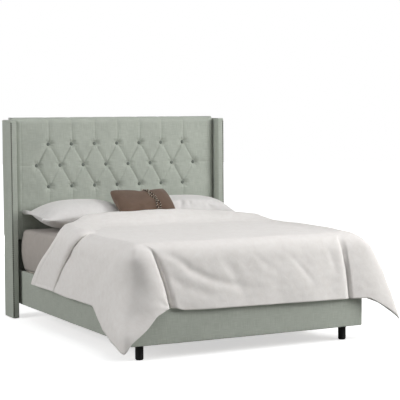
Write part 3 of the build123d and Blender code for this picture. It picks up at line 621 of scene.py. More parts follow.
# Rail covers
# The same linen over thin wadding on the side and foot boards. It is wrapped over the long
# edges and stapled inside, so the inner faces stay bare timber.
rail_edge, rail_wadding, rail_crown = 0.007, 0.0052, 0.0012
rails = (("foot_rail_linen", "foot_rail_cover", ((1, 1),)),
         ("left_side_rail_linen", "left_side_rail_cover", ((0, 1), (1, -1), (1, 1))),
         ("right_side_rail_linen", "right_side_rail_cover", ((0, -1), (1, -1), (1, 1))))
for seed, (name, node, open_sides) in enumerate(rails):
    low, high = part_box(node)
    rail = wrapped_box(name, low, high, rail_edge, rail_crown, 0.012, open_sides, 0.0006, 11 + seed)
    give_thickness(rail, rail_wadding)
    lay_cloth(rail)
    dress(rail, sage_linen, "upholstery_linen", node)

# Bolts and brackets
# Zinc-plated steel, rolled or cold-headed. Zinc gives it a bright grey with a soft grain.


def coated(name, colour, roughness, bump, size, depth=0.0003, tones=(0.85, 1.1), metal=False):
    """Plated, lacquered, painted or moulded skin with a faint texture of the given size in metres."""
    material = start_material(name)
    place = add(material, "TexCoord")
    texture = add(material, "TexNoise", {"Vector": place.outputs["Object"], "Scale": 1 / size,
                                         "Detail": 2.0})
    fade = add(material, "MapRange", {0: texture.outputs[0], 1: 0.3, 2: 0.7, 3: tones[0], 4: tones[1]})
    tone = add(material, "Mix", {0: 1.0, 6: linear(colour), 7: fade.outputs[0]},
               data_type="RGBA", blend_type="MULTIPLY")
    skin = add(material, "Bump", {"Height": texture.outputs[0], "Strength": bump, "Distance": depth})
    # A metal keeps the shader's own IOR, and lacquer, paint or plastic has about 1.5
    body = {"Metallic": 1.0} if metal else {"IOR": 1.5}
    shader = add(material, "BsdfPrincipled", {"Base Color": tone.outputs[2], "Roughness": roughness,
                                              "Normal": skin.outputs[0], **body})
    return finish_material(material, shader)


zinc = coated("steel_zinc_plated", "#b4b6b8", 0.42, 0.15, 0.002, 0.0002, (0.88, 1.05), metal=True)
for name in ("wing_bolts", "head_bracket_bolts", "corner_block_bolts", "hanger_bolts"):
    finish_node(name, zinc, 0.0006)
for name in ("left_head_bracket", "right_head_bracket"):
    finish_node(name, zinc, 0.0008)

# Foot legs
# Turned beech, 50 mm across, sprayed with black satin lacquer. The lacquer is even and
# nearly hides the grain. Each stands on a moulded nylon glide, which looks dull.
black_lacquer = coated("beech_black_lacquered", "#030303", 0.7, 0.2, 0.003)
nylon = coated("nylon_moulded_black", "#141414", 0.55, 0.3, 0.001)
for name in ("left_foot_leg", "right_foot_leg"):
    finish_node(name, black_lacquer, 0.001)
for name in ("leg_glides", "wing_glides"):
    finish_node(name, nylon, 0.0006)

# Centre support
# Steel tubes with welded top plates, powder-coated black, each with a plastic ferrule and
# a levelling foot that screws in and out. The moulded parts have a fine spark-eroded grain.
powder_coat = coated("steel_powder_coated_black", "#26282a", 0.5, 0.35, 0.0008)
moulded_black = coated("polypropylene_moulded_black", "#2b2b2c", 0.6, 0.3, 0.0008)
finish_node("support_legs", powder_coat, 0.0008)
finish_node("leg_ferrules", moulded_black, 0.0006)
for name in ("foot_levelling_foot", "middle_levelling_foot", "head_levelling_foot"):
    finish_node(name, moulded_black, 0.0006)

# Box spring and mattress
# Sprung cores in woven covers. A taped and sewn edge runs round the top and bottom, the
# border panels bulge between the tapes, and the mattress's top is quilted in diamonds.


def rounded_outline(half_x, half_y, radius, counts=(150, 200, 10)):
    """Points round a rectangle with round corners, anticlockwise, always the same number."""
    along_x, along_y, corner = counts
    radius = max(radius, 1e-4)
    flat_x, flat_y = max(half_x - radius, 1e-5), half_y - radius
    turn_steps = np.linspace(0, pi / 2, corner, endpoint=False)
    points = []
    for start, (cx, cy) in ((0, (flat_x, flat_y)), (1, (-flat_x, flat_y)),
                            (2, (-flat_x, -flat_y)), (3, (flat_x, -flat_y))):
        angles = start * pi / 2 + turn_steps
        points += [(cx + radius * cos(a), cy + radius * sin(a)) for a in angles]
        end = (cx + radius * cos((start + 1) * pi / 2), cy + radius * sin((start + 1) * pi / 2))
        count = along_x if start % 2 == 0 else along_y
        size = 2 * (flat_x if start % 2 == 0 else flat_y)
        way = ((-1, 0), (0, -1), (1, 0), (0, 1))[start]
        points += [(end[0] + way[0] * size * i / count, end[1] + way[1] * size * i / count)
                   for i in range(count)]
    return np.array(points)


def stacked(name, low, high, corner, levels, shift=None, close=True):
    """A piece made of rounded outlines stacked by levels of inset and height."""
    half_x, half_y = (high.x - low.x) / 2, (high.y - low.y) / 2
    middle_x, middle_y = (high.x + low.x) / 2, (high.y + low.y) / 2
    rings = []
    for inset, z in levels:
        ring = rounded_outline(half_x - inset, half_y - inset, corner - inset)
        rings.append(np.column_stack([ring[:, 0] + middle_x, ring[:, 1] + middle_y,
                                      np.full(len(ring), z)]))
    points = np.array(rings)
    if shift is not None:
        points = shift(points)
    piece = mesh_piece(name, points.reshape(-1, 3), grid_faces(len(levels), points.shape[1], wrap=True))
    if close:
        sew(piece, close=True)
    return piece


def cotton(name, colour, painted_crease_colour, yarn, roughness=0.9):
    """Plain cotton, woven fine: matt and soft, darker in the hollows of its crumpled bump, as painted
    shade in the creases.

    Real yarns are a quarter of a millimetre apart. The bump is drawn coarse enough to show.
    """
    material = start_material(name)
    place = add(material, "TexCoord")
    weave = add(material, "TexNoise", {"Vector": place.outputs["Object"], "Scale": 1 / yarn,
                                       "Detail": 2.0})
    crumple_size = 0.035
    crumple = add(material, "TexNoise", {"Vector": place.outputs["Object"], "Scale": 1 / crumple_size,
                                         "Detail": 4.0, "Roughness": 0.55, "Distortion": 0.6})
    # The low places of the crumple, the valleys of its bump, get the darker colour: painted shade in the
    # creases.
    crease_shading = add(material, "MapRange", {0: crumple.outputs[0], 1: 0.3, 2: 0.75, 3: 0.4, 4: 1.0})
    tone = add(material, "Mix", {0: crease_shading.outputs[0], 6: linear(painted_crease_colour), 7: linear(colour)},
               data_type="RGBA")
    soft = add(material, "Bump", {"Height": crumple.outputs[0], "Strength": 0.22, "Distance": 0.004})
    fine = add(material, "Bump", {"Height": weave.outputs[0], "Strength": 0.2, "Distance": 0.0004,
                                  "Normal": soft.outputs[0]})
    cloth = add(material, "BsdfPrincipled", {
        "Base Color": tone.outputs[2], "Roughness": roughness, "IOR": 1.46, "Specular IOR Level": 0.25,
        "Sheen Weight": 0.12, "Sheen Roughness": 0.5, "Normal": fine.outputs[0]})
    return finish_material(material, cloth)


ticking = cotton("mattress_ticking_woven", "#e6e2d8", "#d8d3c6", 0.0010)
border_cloth = cotton("box_spring_cloth_woven", "#dedad0", "#cfcabd", 0.0012)
tape_height, quilt_size, quilt_depth, side_bulge = 0.018, 0.18, 0.004, 0.025
border_inset, face_hollow, bulge_from = 0.006, 0.004, 0.7


def border_levels(low, high, edge, bulge, hollow):
    """Levels from the middle of the underside, over both taped edges, to the middle of the top."""
    half = (high.x - low.x) / 2
    inward = half * np.array([0.999, 0.85, 0.7, 0.55, 0.4, 0.25, 0.12])
    under = [(i, low.z + hollow) for i in inward]
    over = [(i, high.z - hollow * (1 - i / half) ** 6) for i in inward[::-1]]
    side = []
    for share in np.linspace(0, 1, 15):
        side.append((bulge * (1 - sin(pi * share) ** 0.7),
                     low.z + edge + share * (high.z - low.z - 2 * edge)))
    tape_low = [(edge, low.z + 0.001), (edge * 0.5, low.z), (bulge * 0.2, low.z + edge * 0.45)]
    tape_high = [(bulge * 0.2, high.z - edge * 0.9), (edge * 0.35, high.z - edge * 0.4),
                 (edge, high.z - 0.001)]
    return under + tape_low + side + tape_high + over


def bulged(points, low, high):
    """Swells a mattress's sides out a little over the rails."""
    share = np.clip((points[..., 2] - low) / (high - low), 0, 1)
    swell = side_bulge * np.sin(pi * share) ** 0.8
    at_side = np.clip(np.abs(points[..., 0]) / bulge_from, 0, 1) ** 8
    points[..., 0] += np.sign(points[..., 0]) * swell * at_side
    return points


def quilted(points):
    """Presses diamond quilting into the top of a mattress."""
    points = bulged(points, points[..., 2].min(), points[..., 2].max())
    top = points[..., 2].max()
    first = np.abs(np.sin((points[..., 0] + points[..., 1]) * pi / quilt_size))
    second = np.abs(np.sin((points[..., 0] - points[..., 1]) * pi / quilt_size))
    on_top = points[..., 2] > top - 0.006
    puff = np.minimum(first, second) ** 0.5
    points[..., 2] -= on_top * quilt_depth * (1 - puff)
    return points


for name, node, corner, cloth, slot, shift in (
        ("box_spring_cover", "box_spring", 0.030, border_cloth, "box_spring_cloth", None),
        ("mattress_cover", "mattress", 0.060, ticking, "mattress_ticking", quilted)):
    low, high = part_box(node)
    # The mattress stands a little inside its box, so that the sheet clears it
    snug = Vector((0.004, 0.004, 0.0)) if shift else Vector((0.0, 0.0, 0.0))
    low, high = low + snug, high - snug
    levels = border_levels(low, high, tape_height, border_inset, face_hollow)
    piece = stacked(name, low, high, corner, levels, shift)
    dress(piece, cloth, slot, node)

# Fitted sheet
# Taupe cotton with elastic run through its hem, stretched over the mattress. It is tight
# on top, creases down the sides where the elastic gathers it, and tucks under the edge.
sheet_low, sheet_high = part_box("fitted_sheet")
sheet_thickness, sheet_edge = 0.0013, 0.020
sheet_inset, sheet_belly = 0.0008, 0.0006
sheet_half = (sheet_high.x - sheet_low.x) / 2
sheet_hem = sheet_low.z - 0.014
elastic_slant, elastic_gap, elastic_depth = 0.8, 0.11, 0.0020
sheet_levels = [(sheet_inset - sheet_belly * sin(pi * s),
                 sheet_hem + s * (sheet_high.z - sheet_hem - sheet_edge))
                for s in np.linspace(0, 1, 22)]
sheet_levels += [(sheet_inset + sheet_edge * (1 - cos(a)), sheet_high.z - sheet_edge * (1 - sin(a)))
                 for a in np.linspace(0.15, pi / 2, 7)]
sheet_levels += [(sheet_half * share, sheet_high.z) for share in (0.08, 0.2, 0.4, 0.6, 0.8, 0.999)]


def gathered_sides(points):
    """Slanting creases that start at the elastic and fade towards the top edge."""
    share = (sheet_high.z - points[..., 2]) / (sheet_high.z - sheet_low.z)
    along = points[..., 1] + elastic_slant * points[..., 0]
    waves = np.sin(along * 2 * pi / elastic_gap + 3 * ripple(points, 0.5, 21))
    inward = elastic_depth * share * (0.5 + 0.5 * waves)
    middle_y = (sheet_low.y + sheet_high.y) / 2
    edge_x = np.abs(points[..., 0]) > sheet_half - 0.05
    points[..., 0] -= np.sign(points[..., 0]) * inward * edge_x
    points = bulged(points, sheet_hem, sheet_high.z)
    points[..., 1] -= np.sign(points[..., 1] - middle_y) * inward * ~edge_x * (share > 0.02)
    return points


sheet_corner = 0.062
sheet = stacked("fitted_sheet_taupe", sheet_low, sheet_high, sheet_corner, sheet_levels, gathered_sides,
                close=False)
give_thickness(sheet, sheet_thickness)
taupe_cotton = cotton("cotton_taupe_percale", "#b0a9a3", "#a49d97", 0.0009)
dress(sheet, taupe_cotton, "sheet_cotton", "fitted_sheet")

# Duvet
# A down duvet in a white cotton cover, spread over the mattress and hanging past the rails.
# Its foot corners swing out as lobes, and a deep crease parts each lobe from the foot panel.
bed_side = (sheet_high.x - sheet_low.x) / 2
bed_foot = sheet_low.y
top_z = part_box("duvet")[1].z
# The hang's profile from the top edge down, as distance beyond the mattress and height
profile_out = np.array([-0.041, 0.022, 0.049, 0.064, 0.074, 0.080, 0.085])
profile_z = np.array([top_z, 0.669, 0.612, 0.452, 0.292, 0.170, 0.040])
edge_in = -profile_out[0]
hang = np.concatenate([[0.0], np.cumsum(np.hypot(np.diff(profile_out), np.diff(profile_z)))])
# Places on the hang where an outline is given: y where each lobe leaves the side, x of each
# crease, how far a lobe's side, corner and front stand out past the side and foot panels
left_start = (-0.99, -0.95, -0.86, -0.68, -0.56, -0.52, -0.50)
left_crease = (0.716, 0.668, 0.646, 0.593, 0.552, 0.52, 0.50)
left_bulge = (0.0, 0.008, 0.026, 0.034, 0.030, 0.024, 0.016)
left_corner_x = (0.0, 0.030, 0.080, 0.106, 0.120, 0.106, 0.062)
left_corner_y = (0.0, 0.030, 0.092, 0.142, 0.166, 0.124, 0.042)
left_front = (0.0, 0.020, 0.070, 0.100, 0.095, 0.075, 0.050)
right_start = (-0.99, -0.94, -0.86, -0.75, -0.68, -0.64, -0.62)
right_crease = (0.716, 0.650, 0.664, 0.692, 0.704, 0.71, 0.71)
right_bulge = (0.0, 0.004, 0.020, 0.050, 0.060, 0.064, 0.066)
right_corner_x = (0.005, 0.030, 0.138, 0.228, 0.236, 0.240, 0.244)
right_corner_y = (0.002, 0.010, 0.030, 0.045, 0.055, 0.085, 0.120)
right_front = (0.0, 0.008, 0.016, 0.030, 0.042, 0.054, 0.064)
crease_depth = (0.0, 0.014, 0.034, 0.048, 0.052, 0.050, 0.046)
side_count, lobe_count, foot_count, level_count = 120, 58, 170, 110
hang_levels = np.linspace(0, hang[-1], level_count)


def smoothed(values, width, axis):
    """A running mean over width samples along one axis, with the ends held."""
    pad_before, pad_after = width // 2, width - 1 - width // 2
    spread = [(0, 0)] * values.ndim
    spread[axis] = (pad_before, pad_after)
    summed = np.cumsum(np.pad(values, spread, mode="edge"), axis=axis)
    summed = np.insert(summed, 0, 0, axis=axis)
    return (np.take(summed, range(width, summed.shape[axis]), axis)
            - np.take(summed, range(summed.shape[axis] - width), axis)) / width


def at_levels(places):
    """A value given at the profile's places, spread smoothly down the hang."""
    return smoothed(np.interp(hang_levels, hang, places), 9, 0)


def run_through(corners, count):
    """Points evenly spread along a line through corners, for every level at once."""
    corners = np.array([[np.broadcast_to(c, level_count) for c in corner] for corner in corners])
    steps = np.hypot(*np.diff(corners, axis=0).transpose(1, 0, 2))
    reach = np.concatenate([np.zeros((1, level_count)), np.cumsum(steps, 0)])
    line = np.empty((level_count, count, 2))
    for k in range(level_count):
        want = np.linspace(0, reach[-1, k], count)
        for part in range(2):
            line[k, :, part] = np.interp(want, reach[:, k] + np.arange(len(corners)) * 1e-9,
                                         corners[:, part, k])
    return line


out = at_levels(profile_out)
hang_z = at_levels(profile_z)
side_x, foot_y = bed_side + out, bed_foot - out
# The head edge of the cloth, on top and down the sides, a little inside the turned-back end
left_head = (0.18, 0.08, 0.12, 0.37, 0.53, 0.57, 0.59)
right_head = (0.29, 0.27, 0.28, 0.48, 0.64, 0.68, 0.70)
corner_apex = (bed_side - edge_in, bed_foot + edge_in)
near_crease, wide_reach = 0.5, 0.05


def lobe(sign, start, crease, bulge, corner_out_x, corner_out_y, front, wide_bend):
    """The two runs of a foot corner's outline: side to corner, and corner to crease."""
    start, crease, bulge, front = (at_levels(v) for v in (start, crease, bulge, front))
    corner_x, corner_y = side_x + at_levels(corner_out_x), foot_y - at_levels(corner_out_y)
    middle_y = start * 0.45 + corner_y * 0.55
    first = run_through([(sign * side_x, start), (sign * (side_x + bulge), middle_y),
                         (sign * corner_x, corner_y)], lobe_count)
    middle_x = crease * near_crease + corner_x * (1 - near_crease)
    second = run_through([(sign * corner_x, corner_y), (sign * middle_x, foot_y - front),
                          (sign * crease, foot_y)], lobe_count)
    # Above the hem the cloth runs round the corner in one wide bend, a quarter of an ellipse
    reach = np.stack([sign * (corner_x + wide_reach), corner_y - wide_reach], -1)[:, None, :]
    begin = np.stack([sign * side_x, start], -1)[:, None, :]
    finish = np.stack([sign * crease, foot_y], -1)[:, None, :]
    for run, from_share in ((first, 0), (second, 0.5)):
        t = np.linspace(from_share, from_share + 0.5, lobe_count)[None, :, None] * pi / 2
        bend = reach + (begin - reach) * (1 - np.sin(t)) + (finish - reach) * (1 - np.cos(t))
        weight = at_levels(wide_bend)[:, None, None]
        run[:] = run * (1 - weight) + bend * weight
    return first, second


left_first, left_second = lobe(-1, left_start, left_crease, left_bulge, left_corner_x, left_corner_y,
                               left_front, (1.0, 1.0, 1.0, 1.0, 0.75, 0.3, 0.0))
right_first, right_second = lobe(1, right_start, right_crease, right_bulge, right_corner_x,
                                 right_corner_y, right_front, (0.4, 0.3, 0.15, 0.1, 0.0, 0.0, 0.0))
left_side = run_through([(-side_x, at_levels(left_head)), (-side_x, at_levels(left_start))], side_count)
right_side = run_through([(side_x, at_levels(right_start)), (side_x, at_levels(right_head))],
                         side_count)
foot_run = run_through([(-at_levels(left_crease), foot_y), (at_levels(right_crease), foot_y)],
                       foot_count)
# The outline's runs, from the left side's head end round the foot to the right side's
runs = (left_side, left_first, left_second, foot_run, right_second[:, ::-1], right_first[:, ::-1],
        right_side)
outline = np.concatenate([run[:, :-1] for run in runs[:-1]] + [right_side], axis=1)
starts = np.cumsum([0] + [run.shape[1] - 1 for run in runs[:-1]])
left_crease_at, right_crease_at = starts[3], starts[4]
for width in (13, 11, 9):
    ends = outline[:, [0, -1]].copy()
    outline = smoothed(outline, width, 1)
    outline[:, [0, -1]] = ends
# The cloth bends widely round each corner, and more tightly towards the tip at the hem
round_columns, round_levels = 53, at_levels((1.0, 1.0, 1.0, 0.95, 0.6, 0.3, 0.1))
rounder = smoothed(smoothed(outline, round_columns, 1), round_columns // 2, 1)
column = np.arange(outline.shape[1])
# The bend is full within 20 columns of a corner and gone 54 columns from it
near_corner = np.zeros(outline.shape[1])
for corner_column in (starts[2], starts[5]):
    near_corner = np.maximum(near_corner, np.clip(1.6 - np.abs(column - corner_column) / 34, 0, 1))
near_corner = smoothed(near_corner, 15, 0)
blend = (near_corner[None, :] * round_levels[:, None])[..., None]
outline = outline * (1 - blend) + rounder * blend
outline = smoothed(outline, 5, 0)

# The hem's height at shares of each run, in the order of the runs
hem_side = 0.276
hem_places = (((0.0, 0.297), (0.25, 0.288), (0.55, 0.273), (1.0, hem_side)),
              ((0.15, 0.232), (0.36, 0.160), (0.70, 0.112), (0.96, 0.070)),
              ((0.04, 0.070), (0.16, 0.130), (0.45, 0.205), (0.66, 0.275), (0.90, 0.306)),
              ((0.02, 0.312), (0.07, 0.293), (0.15, 0.290), (0.97, 0.279)),
              ((0.35, 0.278), (0.70, 0.205), (0.97, 0.132)),
              ((0.03, 0.134), (0.30, 0.225), (0.70, 0.285)),
              ((0.03, 0.286), (0.5, 0.280), (1.0, 0.290)))
hem_at = [start + share * (run.shape[1] - 1)
          for start, run, places in zip(starts, runs, hem_places) for share, _ in places]
hem_heights = [height for places in hem_places for _, height in places]
hem_z = smoothed(np.interp(column, hem_at, hem_heights), 5, 0)
hem_reach = np.interp(-hem_z, -hang_z, hang_levels)


def skirt_points(columns, shares):
    """Points of the hanging cloth at fractional columns and shares of the way to the hem."""
    reach = np.interp(columns, column, hem_reach) * shares
    level = reach / hang_levels[-1] * (level_count - 1)
    k = np.clip(level.astype(int), 0, level_count - 2)
    c = np.clip(columns.astype(int), 0, outline.shape[1] - 2)
    down_share, round_share = (level - k)[..., None], (columns - c)[..., None]
    above = outline[k, c] * (1 - round_share) + outline[k, c + 1] * round_share
    below = outline[k + 1, c] * (1 - round_share) + outline[k + 1, c + 1] * round_share
    flat = above * (1 - down_share) + below * down_share
    z = np.interp(reach, hang_levels, hang_z)
    return np.concatenate([flat, z[..., None]], -1)


# The cloth's grid lies over the top and hangs down three sides, in cells of about 8.5 mm
top_columns, top_rows, rows_down, cloth_cell = 150, 150, 55, 0.0085
cloth_rows, cloth_columns = top_rows + rows_down, top_columns + 2 * rows_down
row_index, column_index = np.meshgrid(np.arange(cloth_rows), np.arange(cloth_columns), indexing="ij")
past_foot = np.clip(row_index - (top_rows - 1), 0, None)
past_left = np.clip(rows_down - column_index, 0, None)
past_right = np.clip(column_index - (rows_down + top_columns - 1), 0, None)
cloth = np.zeros((cloth_rows, cloth_columns, 3))
share_x = np.clip((column_index - rows_down) / (top_columns - 1), 0, 1)
share_y = np.clip(row_index / (top_rows - 1), 0, 1)
top_edge_x = corner_apex[0]
head_middle, head_flat = 0.49, 0.42
top_x = (2 * share_x - 1) * top_edge_x
head_slant = np.where(top_x < 0, head_middle - left_head[0], head_middle - right_head[0])
ease = np.clip((np.abs(top_x) - head_flat) / (top_edge_x - head_flat), 0, 1)
top_head = head_middle - head_slant * ease ** 2 * (3 - 2 * ease)
top_y = top_head + (corner_apex[1] - top_head) * share_y
cloth[..., 0], cloth[..., 1], cloth[..., 2] = top_x, top_y, top_z
on_left = (past_left > 0) & (past_foot == 0)
on_right = (past_right > 0) & (past_foot == 0)
on_foot = (past_foot > 0) & (past_left == 0) & (past_right == 0)
left_lobe = (past_foot > 0) & (past_left > 0)
right_lobe = (past_foot > 0) & (past_right > 0)


def lobe_place(sideways, footways, side_start, sign):
    """Where a cloth corner's grid falls on the lobe, from the side run round the tip to the foot run."""
    share = np.maximum(sideways, footways) / rows_down
    turn_share = np.where(sideways >= footways, 0.5 * footways / np.maximum(sideways, 1),
                          1 - 0.5 * sideways / np.maximum(footways, 1))
    return side_start + sign * turn_share * 2 * (lobe_count - 1), share


left_turn, left_reach = lobe_place(past_left, past_foot, starts[1], 1)
right_turn, right_reach = lobe_place(past_right, past_foot, starts[6], -1)
for mask, columns, share in (
        (on_left, share_y * (side_count - 1), past_left / rows_down),
        (on_right, starts[6] + (1 - share_y) * (side_count - 1), past_right / rows_down),
        (on_foot, starts[3] + share_x * (foot_count - 1), past_foot / rows_down),
        (left_lobe, left_turn, left_reach),
        (right_lobe, right_turn, right_reach)):
    placed = skirt_points(columns.astype(float), share.astype(float))
    cloth[mask] = placed[mask]


def surface_normals(points):
    """Outward normals of a grid of points."""
    down_way = np.gradient(points, axis=0)
    across_way = np.gradient(points, axis=1)
    normal = np.cross(across_way, down_way)
    return -normal / np.maximum(np.linalg.norm(normal, axis=-1, keepdims=True), 1e-12)


def near_line(points, line):
    """Each point's distance to a line through given points, and its share of the way along it."""
    best = np.full(points.shape[:-1], 1e9)
    share = np.zeros(points.shape[:-1])
    for k, (a, b) in enumerate(zip(line, line[1:])):
        a, b = np.array(a), np.array(b)
        t = np.clip(((points - a) @ (b - a)) / ((b - a) @ (b - a)), 0, 1)
        away = np.linalg.norm(points - a - t[..., None] * (b - a), axis=-1)
        share = np.where(away < best, (k + t) / (len(line) - 1), share)
        best = np.minimum(best, away)
    return best, share


# The down has worked its way to the right side, which stays full out past the mattress
full_x, full_width, full_rise = 0.79, 0.085, 0.034
right_full = np.exp(-((cloth[..., 0] - full_x) / full_width) ** 2)
right_full *= np.interp(cloth[..., 2], (0.42, 0.62), (0, 1))
right_full *= np.interp(cloth[..., 1], (-1.16, -0.82, -0.05, 0.35), (0, 1, 1, 0))
cloth[..., 2] += full_rise * right_full
normals = surface_normals(cloth)
foot_plane = bed_foot - 0.06
# Soft valleys in the cloth: the line each follows, half its width and its depth
valleys = [
    ([(-0.62, foot_plane, 0.67), (-0.50, foot_plane, 0.60), (-0.416, foot_plane, 0.529),
      (-0.269, foot_plane, 0.459), (-0.02, foot_plane, 0.395)], 0.026, 0.010),
    ([(-0.60, foot_plane, 0.52), (-0.45, foot_plane, 0.42), (-0.25, foot_plane, 0.36)], 0.030, 0.006),
    ([(0.26, foot_plane, 0.585), (0.363, foot_plane, 0.48), (0.43, foot_plane, 0.40)], 0.018, 0.004),
    ([(0.02, foot_plane, 0.60), (0.12, foot_plane, 0.52)], 0.020, 0.003),
    ([(-0.20, foot_plane, 0.60), (-0.12, foot_plane, 0.48), (-0.05, foot_plane, 0.34)], 0.035, 0.005),
    ([(0.55, foot_plane, 0.62), (0.60, foot_plane, 0.45)], 0.026, 0.005),
    ([(-0.80, -1.03, 0.665), (-0.87, -1.10, 0.61)], 0.026, 0.010),
    ([(-0.85, -0.74, 0.50), (-0.87, -0.82, 0.34), (-0.87, -0.90, 0.20)], 0.040, 0.005),
    ([(0.76, -1.12, 0.62), (0.84, -1.19, 0.48), (0.90, -1.23, 0.30)], 0.035, 0.006),
    ([(-0.80, -0.10, 0.62), (-0.82, -0.16, 0.45), (-0.83, -0.20, 0.30)], 0.040, 0.007),
    ([(-0.81, -0.38, 0.58), (-0.83, -0.42, 0.40), (-0.83, -0.44, 0.29)], 0.035, 0.006),
    ([(0.80, -0.05, 0.62), (0.82, -0.10, 0.45), (0.83, -0.12, 0.30)], 0.040, 0.007),
    ([(0.80, -0.40, 0.60), (0.83, -0.45, 0.40), (0.83, -0.48, 0.29)], 0.040, 0.007),
    ([(-0.55, -0.35, top_z), (-0.10, -0.25, top_z), (0.35, -0.30, top_z)], 0.045, 0.006),
    ([(-0.45, -0.75, top_z), (0.05, -0.68, top_z), (0.50, -0.78, top_z)], 0.050, 0.005),
]
shift = np.zeros(cloth.shape[:-1])
for line, width, depth in valleys:
    away, along = near_line(cloth, line)
    shift -= depth * np.exp(-(away / width) ** 2) * np.sin(pi * np.clip(along, 0.03, 0.97)) ** 0.4
drop_share = np.clip((top_z - cloth[..., 2]) / (top_z - hem_side), 0, 1.4)
# Broad waves that grow down the hang, then finer ones: each its depth, its length and its seed
shift += 0.0042 * ripple(cloth, 0.42, 31) * (0.5 + drop_share)
shift += 0.0016 * ripple(cloth, 0.15, 32) + 0.0006 * ripple(cloth, 0.06, 33)
# Gathers that fan out from the foot of the left crease, and the creases themselves
gather_foot = np.array([-0.56, bed_foot - 0.075, 0.31])
fan_depth, fan_count, fan_reach, fan_start = 0.0045, 9, 0.10, 0.02
from_foot = cloth - gather_foot
fan = np.arctan2(from_foot[..., 2], from_foot[..., 0])
gather_away = np.linalg.norm(from_foot, axis=-1)
lobe_side = from_foot[..., 0] < fan_start
fan_fade = np.exp(-gather_away / fan_reach) * np.clip(gather_away / fan_start, 0, 1)
shift += fan_depth * lobe_side * np.sin(fan_count * fan) * fan_fade
cloth += normals * shift[..., None]
foot_column = np.where(on_foot, starts[3] + share_x * (foot_count - 1), np.nan)
foot_column = np.where(left_lobe, left_turn, np.where(right_lobe, right_turn, foot_column))
foot_cell = 1.3 / foot_count
level_depth = np.interp(np.clip(top_z - cloth[..., 2], 0, None), top_z - profile_z, crease_depth)
lobe_cell_share, panel_reach = 0.55, 0.055
for place, sharp_sign, lobe_reach, share in ((left_crease_at, -1, 0.026, 1.0),
                                             (right_crease_at, 1, 0.011, 0.7)):
    aside = (foot_column - place) * foot_cell
    on_lobe = aside * sharp_sign > 0
    aside = np.abs(aside) * np.where(on_lobe, lobe_cell_share, 1.0)
    groove = shoulder(aside, np.where(on_lobe, lobe_reach, panel_reach))
    cloth[..., 1] += np.nan_to_num(groove * level_depth * share)

duvet_piece = mesh_piece("duvet_in_cover", cloth.reshape(-1, 3),
                         grid_faces(cloth_rows, cloth_columns, flip=True))
filling = duvet_piece.vertex_groups.new(name="filling")
hem_gap = np.minimum.reduce([cloth_rows - 1 - row_index, column_index,
                             cloth_columns - 1 - column_index])
# The down thins out towards the hem, and is thickest on top
thin_hem, hem_fade, hang_down, top_down, top_from = 0.12, 0.05, 0.32, 0.55, 0.64
fill_share = np.clip(thin_hem + hem_gap * cloth_cell / hem_fade, thin_hem, 1.0) * hang_down
top_fill = np.clip((cloth[..., 2] - top_from) / (top_z - top_from), 0, 1)
fill_share += top_fill ** 2 * top_down * (hem_gap > 3)
for weight in np.unique(np.round(fill_share, 2)):
    chosen = np.flatnonzero(np.round(fill_share.ravel(), 2) == weight)
    filling.add([int(i) for i in chosen], float(weight), "REPLACE")
down_fill = duvet_piece.modifiers.new("down", "SOLIDIFY")
down_fill.thickness = 0.050
down_fill.offset = -1.0
down_fill.vertex_group = "filling"
white_cotton = cotton("cotton_white_percale", "#eeebe8", "#e4dfdb", 0.0008)
dress(duvet_piece, white_cotton, "duvet_cotton", "duvet")

# Turned-back end of the duvet
# The head end is folded back over itself, so it lies as a fat soft roll across the bed and
# hangs at the sides. Its hem is stitched 20 mm from the edge.
band_columns, band_rows = 300, 44
hem_band = 0.286
reach_down = float(np.interp(-hem_band, -hang_z, hang_levels))
band_path = np.linspace(-reach_down - top_edge_x, reach_down + top_edge_x, band_columns)
beyond = np.clip(np.abs(band_path) - top_edge_x, 0, None)
band_x = np.where(beyond > 0, np.sign(band_path) * (bed_side + np.interp(beyond, hang_levels, out)),
                  band_path)
band_z = np.interp(beyond, hang_levels, hang_z)
ease = np.clip((np.abs(band_path) - head_flat) / (top_edge_x - head_flat), 0, 1)
ease = ease ** 2 * (3 - 2 * ease)
# The y of the fold and of the free edge: in the middle, and down the left and the right hang
band_edges = []
for middle, left_hang, right_hang in (
        (0.515, (0.20, 0.10, 0.140, 0.395, 0.565, 0.60, 0.62),
         (0.30, 0.285, 0.300, 0.515, 0.66, 0.70, 0.72)),
        (0.10, (-0.24, -0.27, -0.190, -0.020, 0.128, 0.17, 0.19),
         (-0.09, -0.085, -0.062, 0.100, 0.236, 0.30, 0.32))):
    hanging = np.where(band_path < 0, np.interp(beyond, hang, left_hang),
                       np.interp(beyond, hang, right_hang))
    band_edges.append(smoothed(middle + (hanging - middle) * ease, 13, 0))
band_head, band_foot = band_edges
crest = np.interp(np.abs(band_path), (0.0, 0.30, 0.55, top_edge_x, top_edge_x + 0.07,
                                      top_edge_x + 0.2, top_edge_x + reach_down),
                  (0.084, 0.082, 0.064, 0.046, 0.034, 0.028, 0.012))
crest = smoothed(crest, 15, 0)
path_x, path_z = np.gradient(band_x), np.gradient(band_z)
path_length = np.hypot(path_x, path_z)
lift_x, lift_z = -path_z / path_length, path_x / path_length
lift_x, lift_z = smoothed(lift_x, 9, 0), smoothed(lift_z, 9, 0)
steps = np.linspace(0, 1, band_rows)
# The roll's height over the duvet from its free edge to the fold, as shares of its crest
roll_height = np.interp(steps, (0.0, 0.1, 0.25, 0.45, 0.65, 0.80, 0.92, 1.0),
                        (0.015, 0.04, 0.18, 0.60, 0.94, 1.0, 0.93, 0.66))
side_height = np.interp(steps, (0.0, 0.02, 0.08, 0.30, 0.65, 0.80, 0.92, 1.0),
                        (0.30, 0.62, 0.90, 0.96, 0.98, 1.0, 0.90, 0.62))
roll_height = smoothed(roll_height, 5, 0)
loops = []
fold_round, side_from = 0.040, 0.60
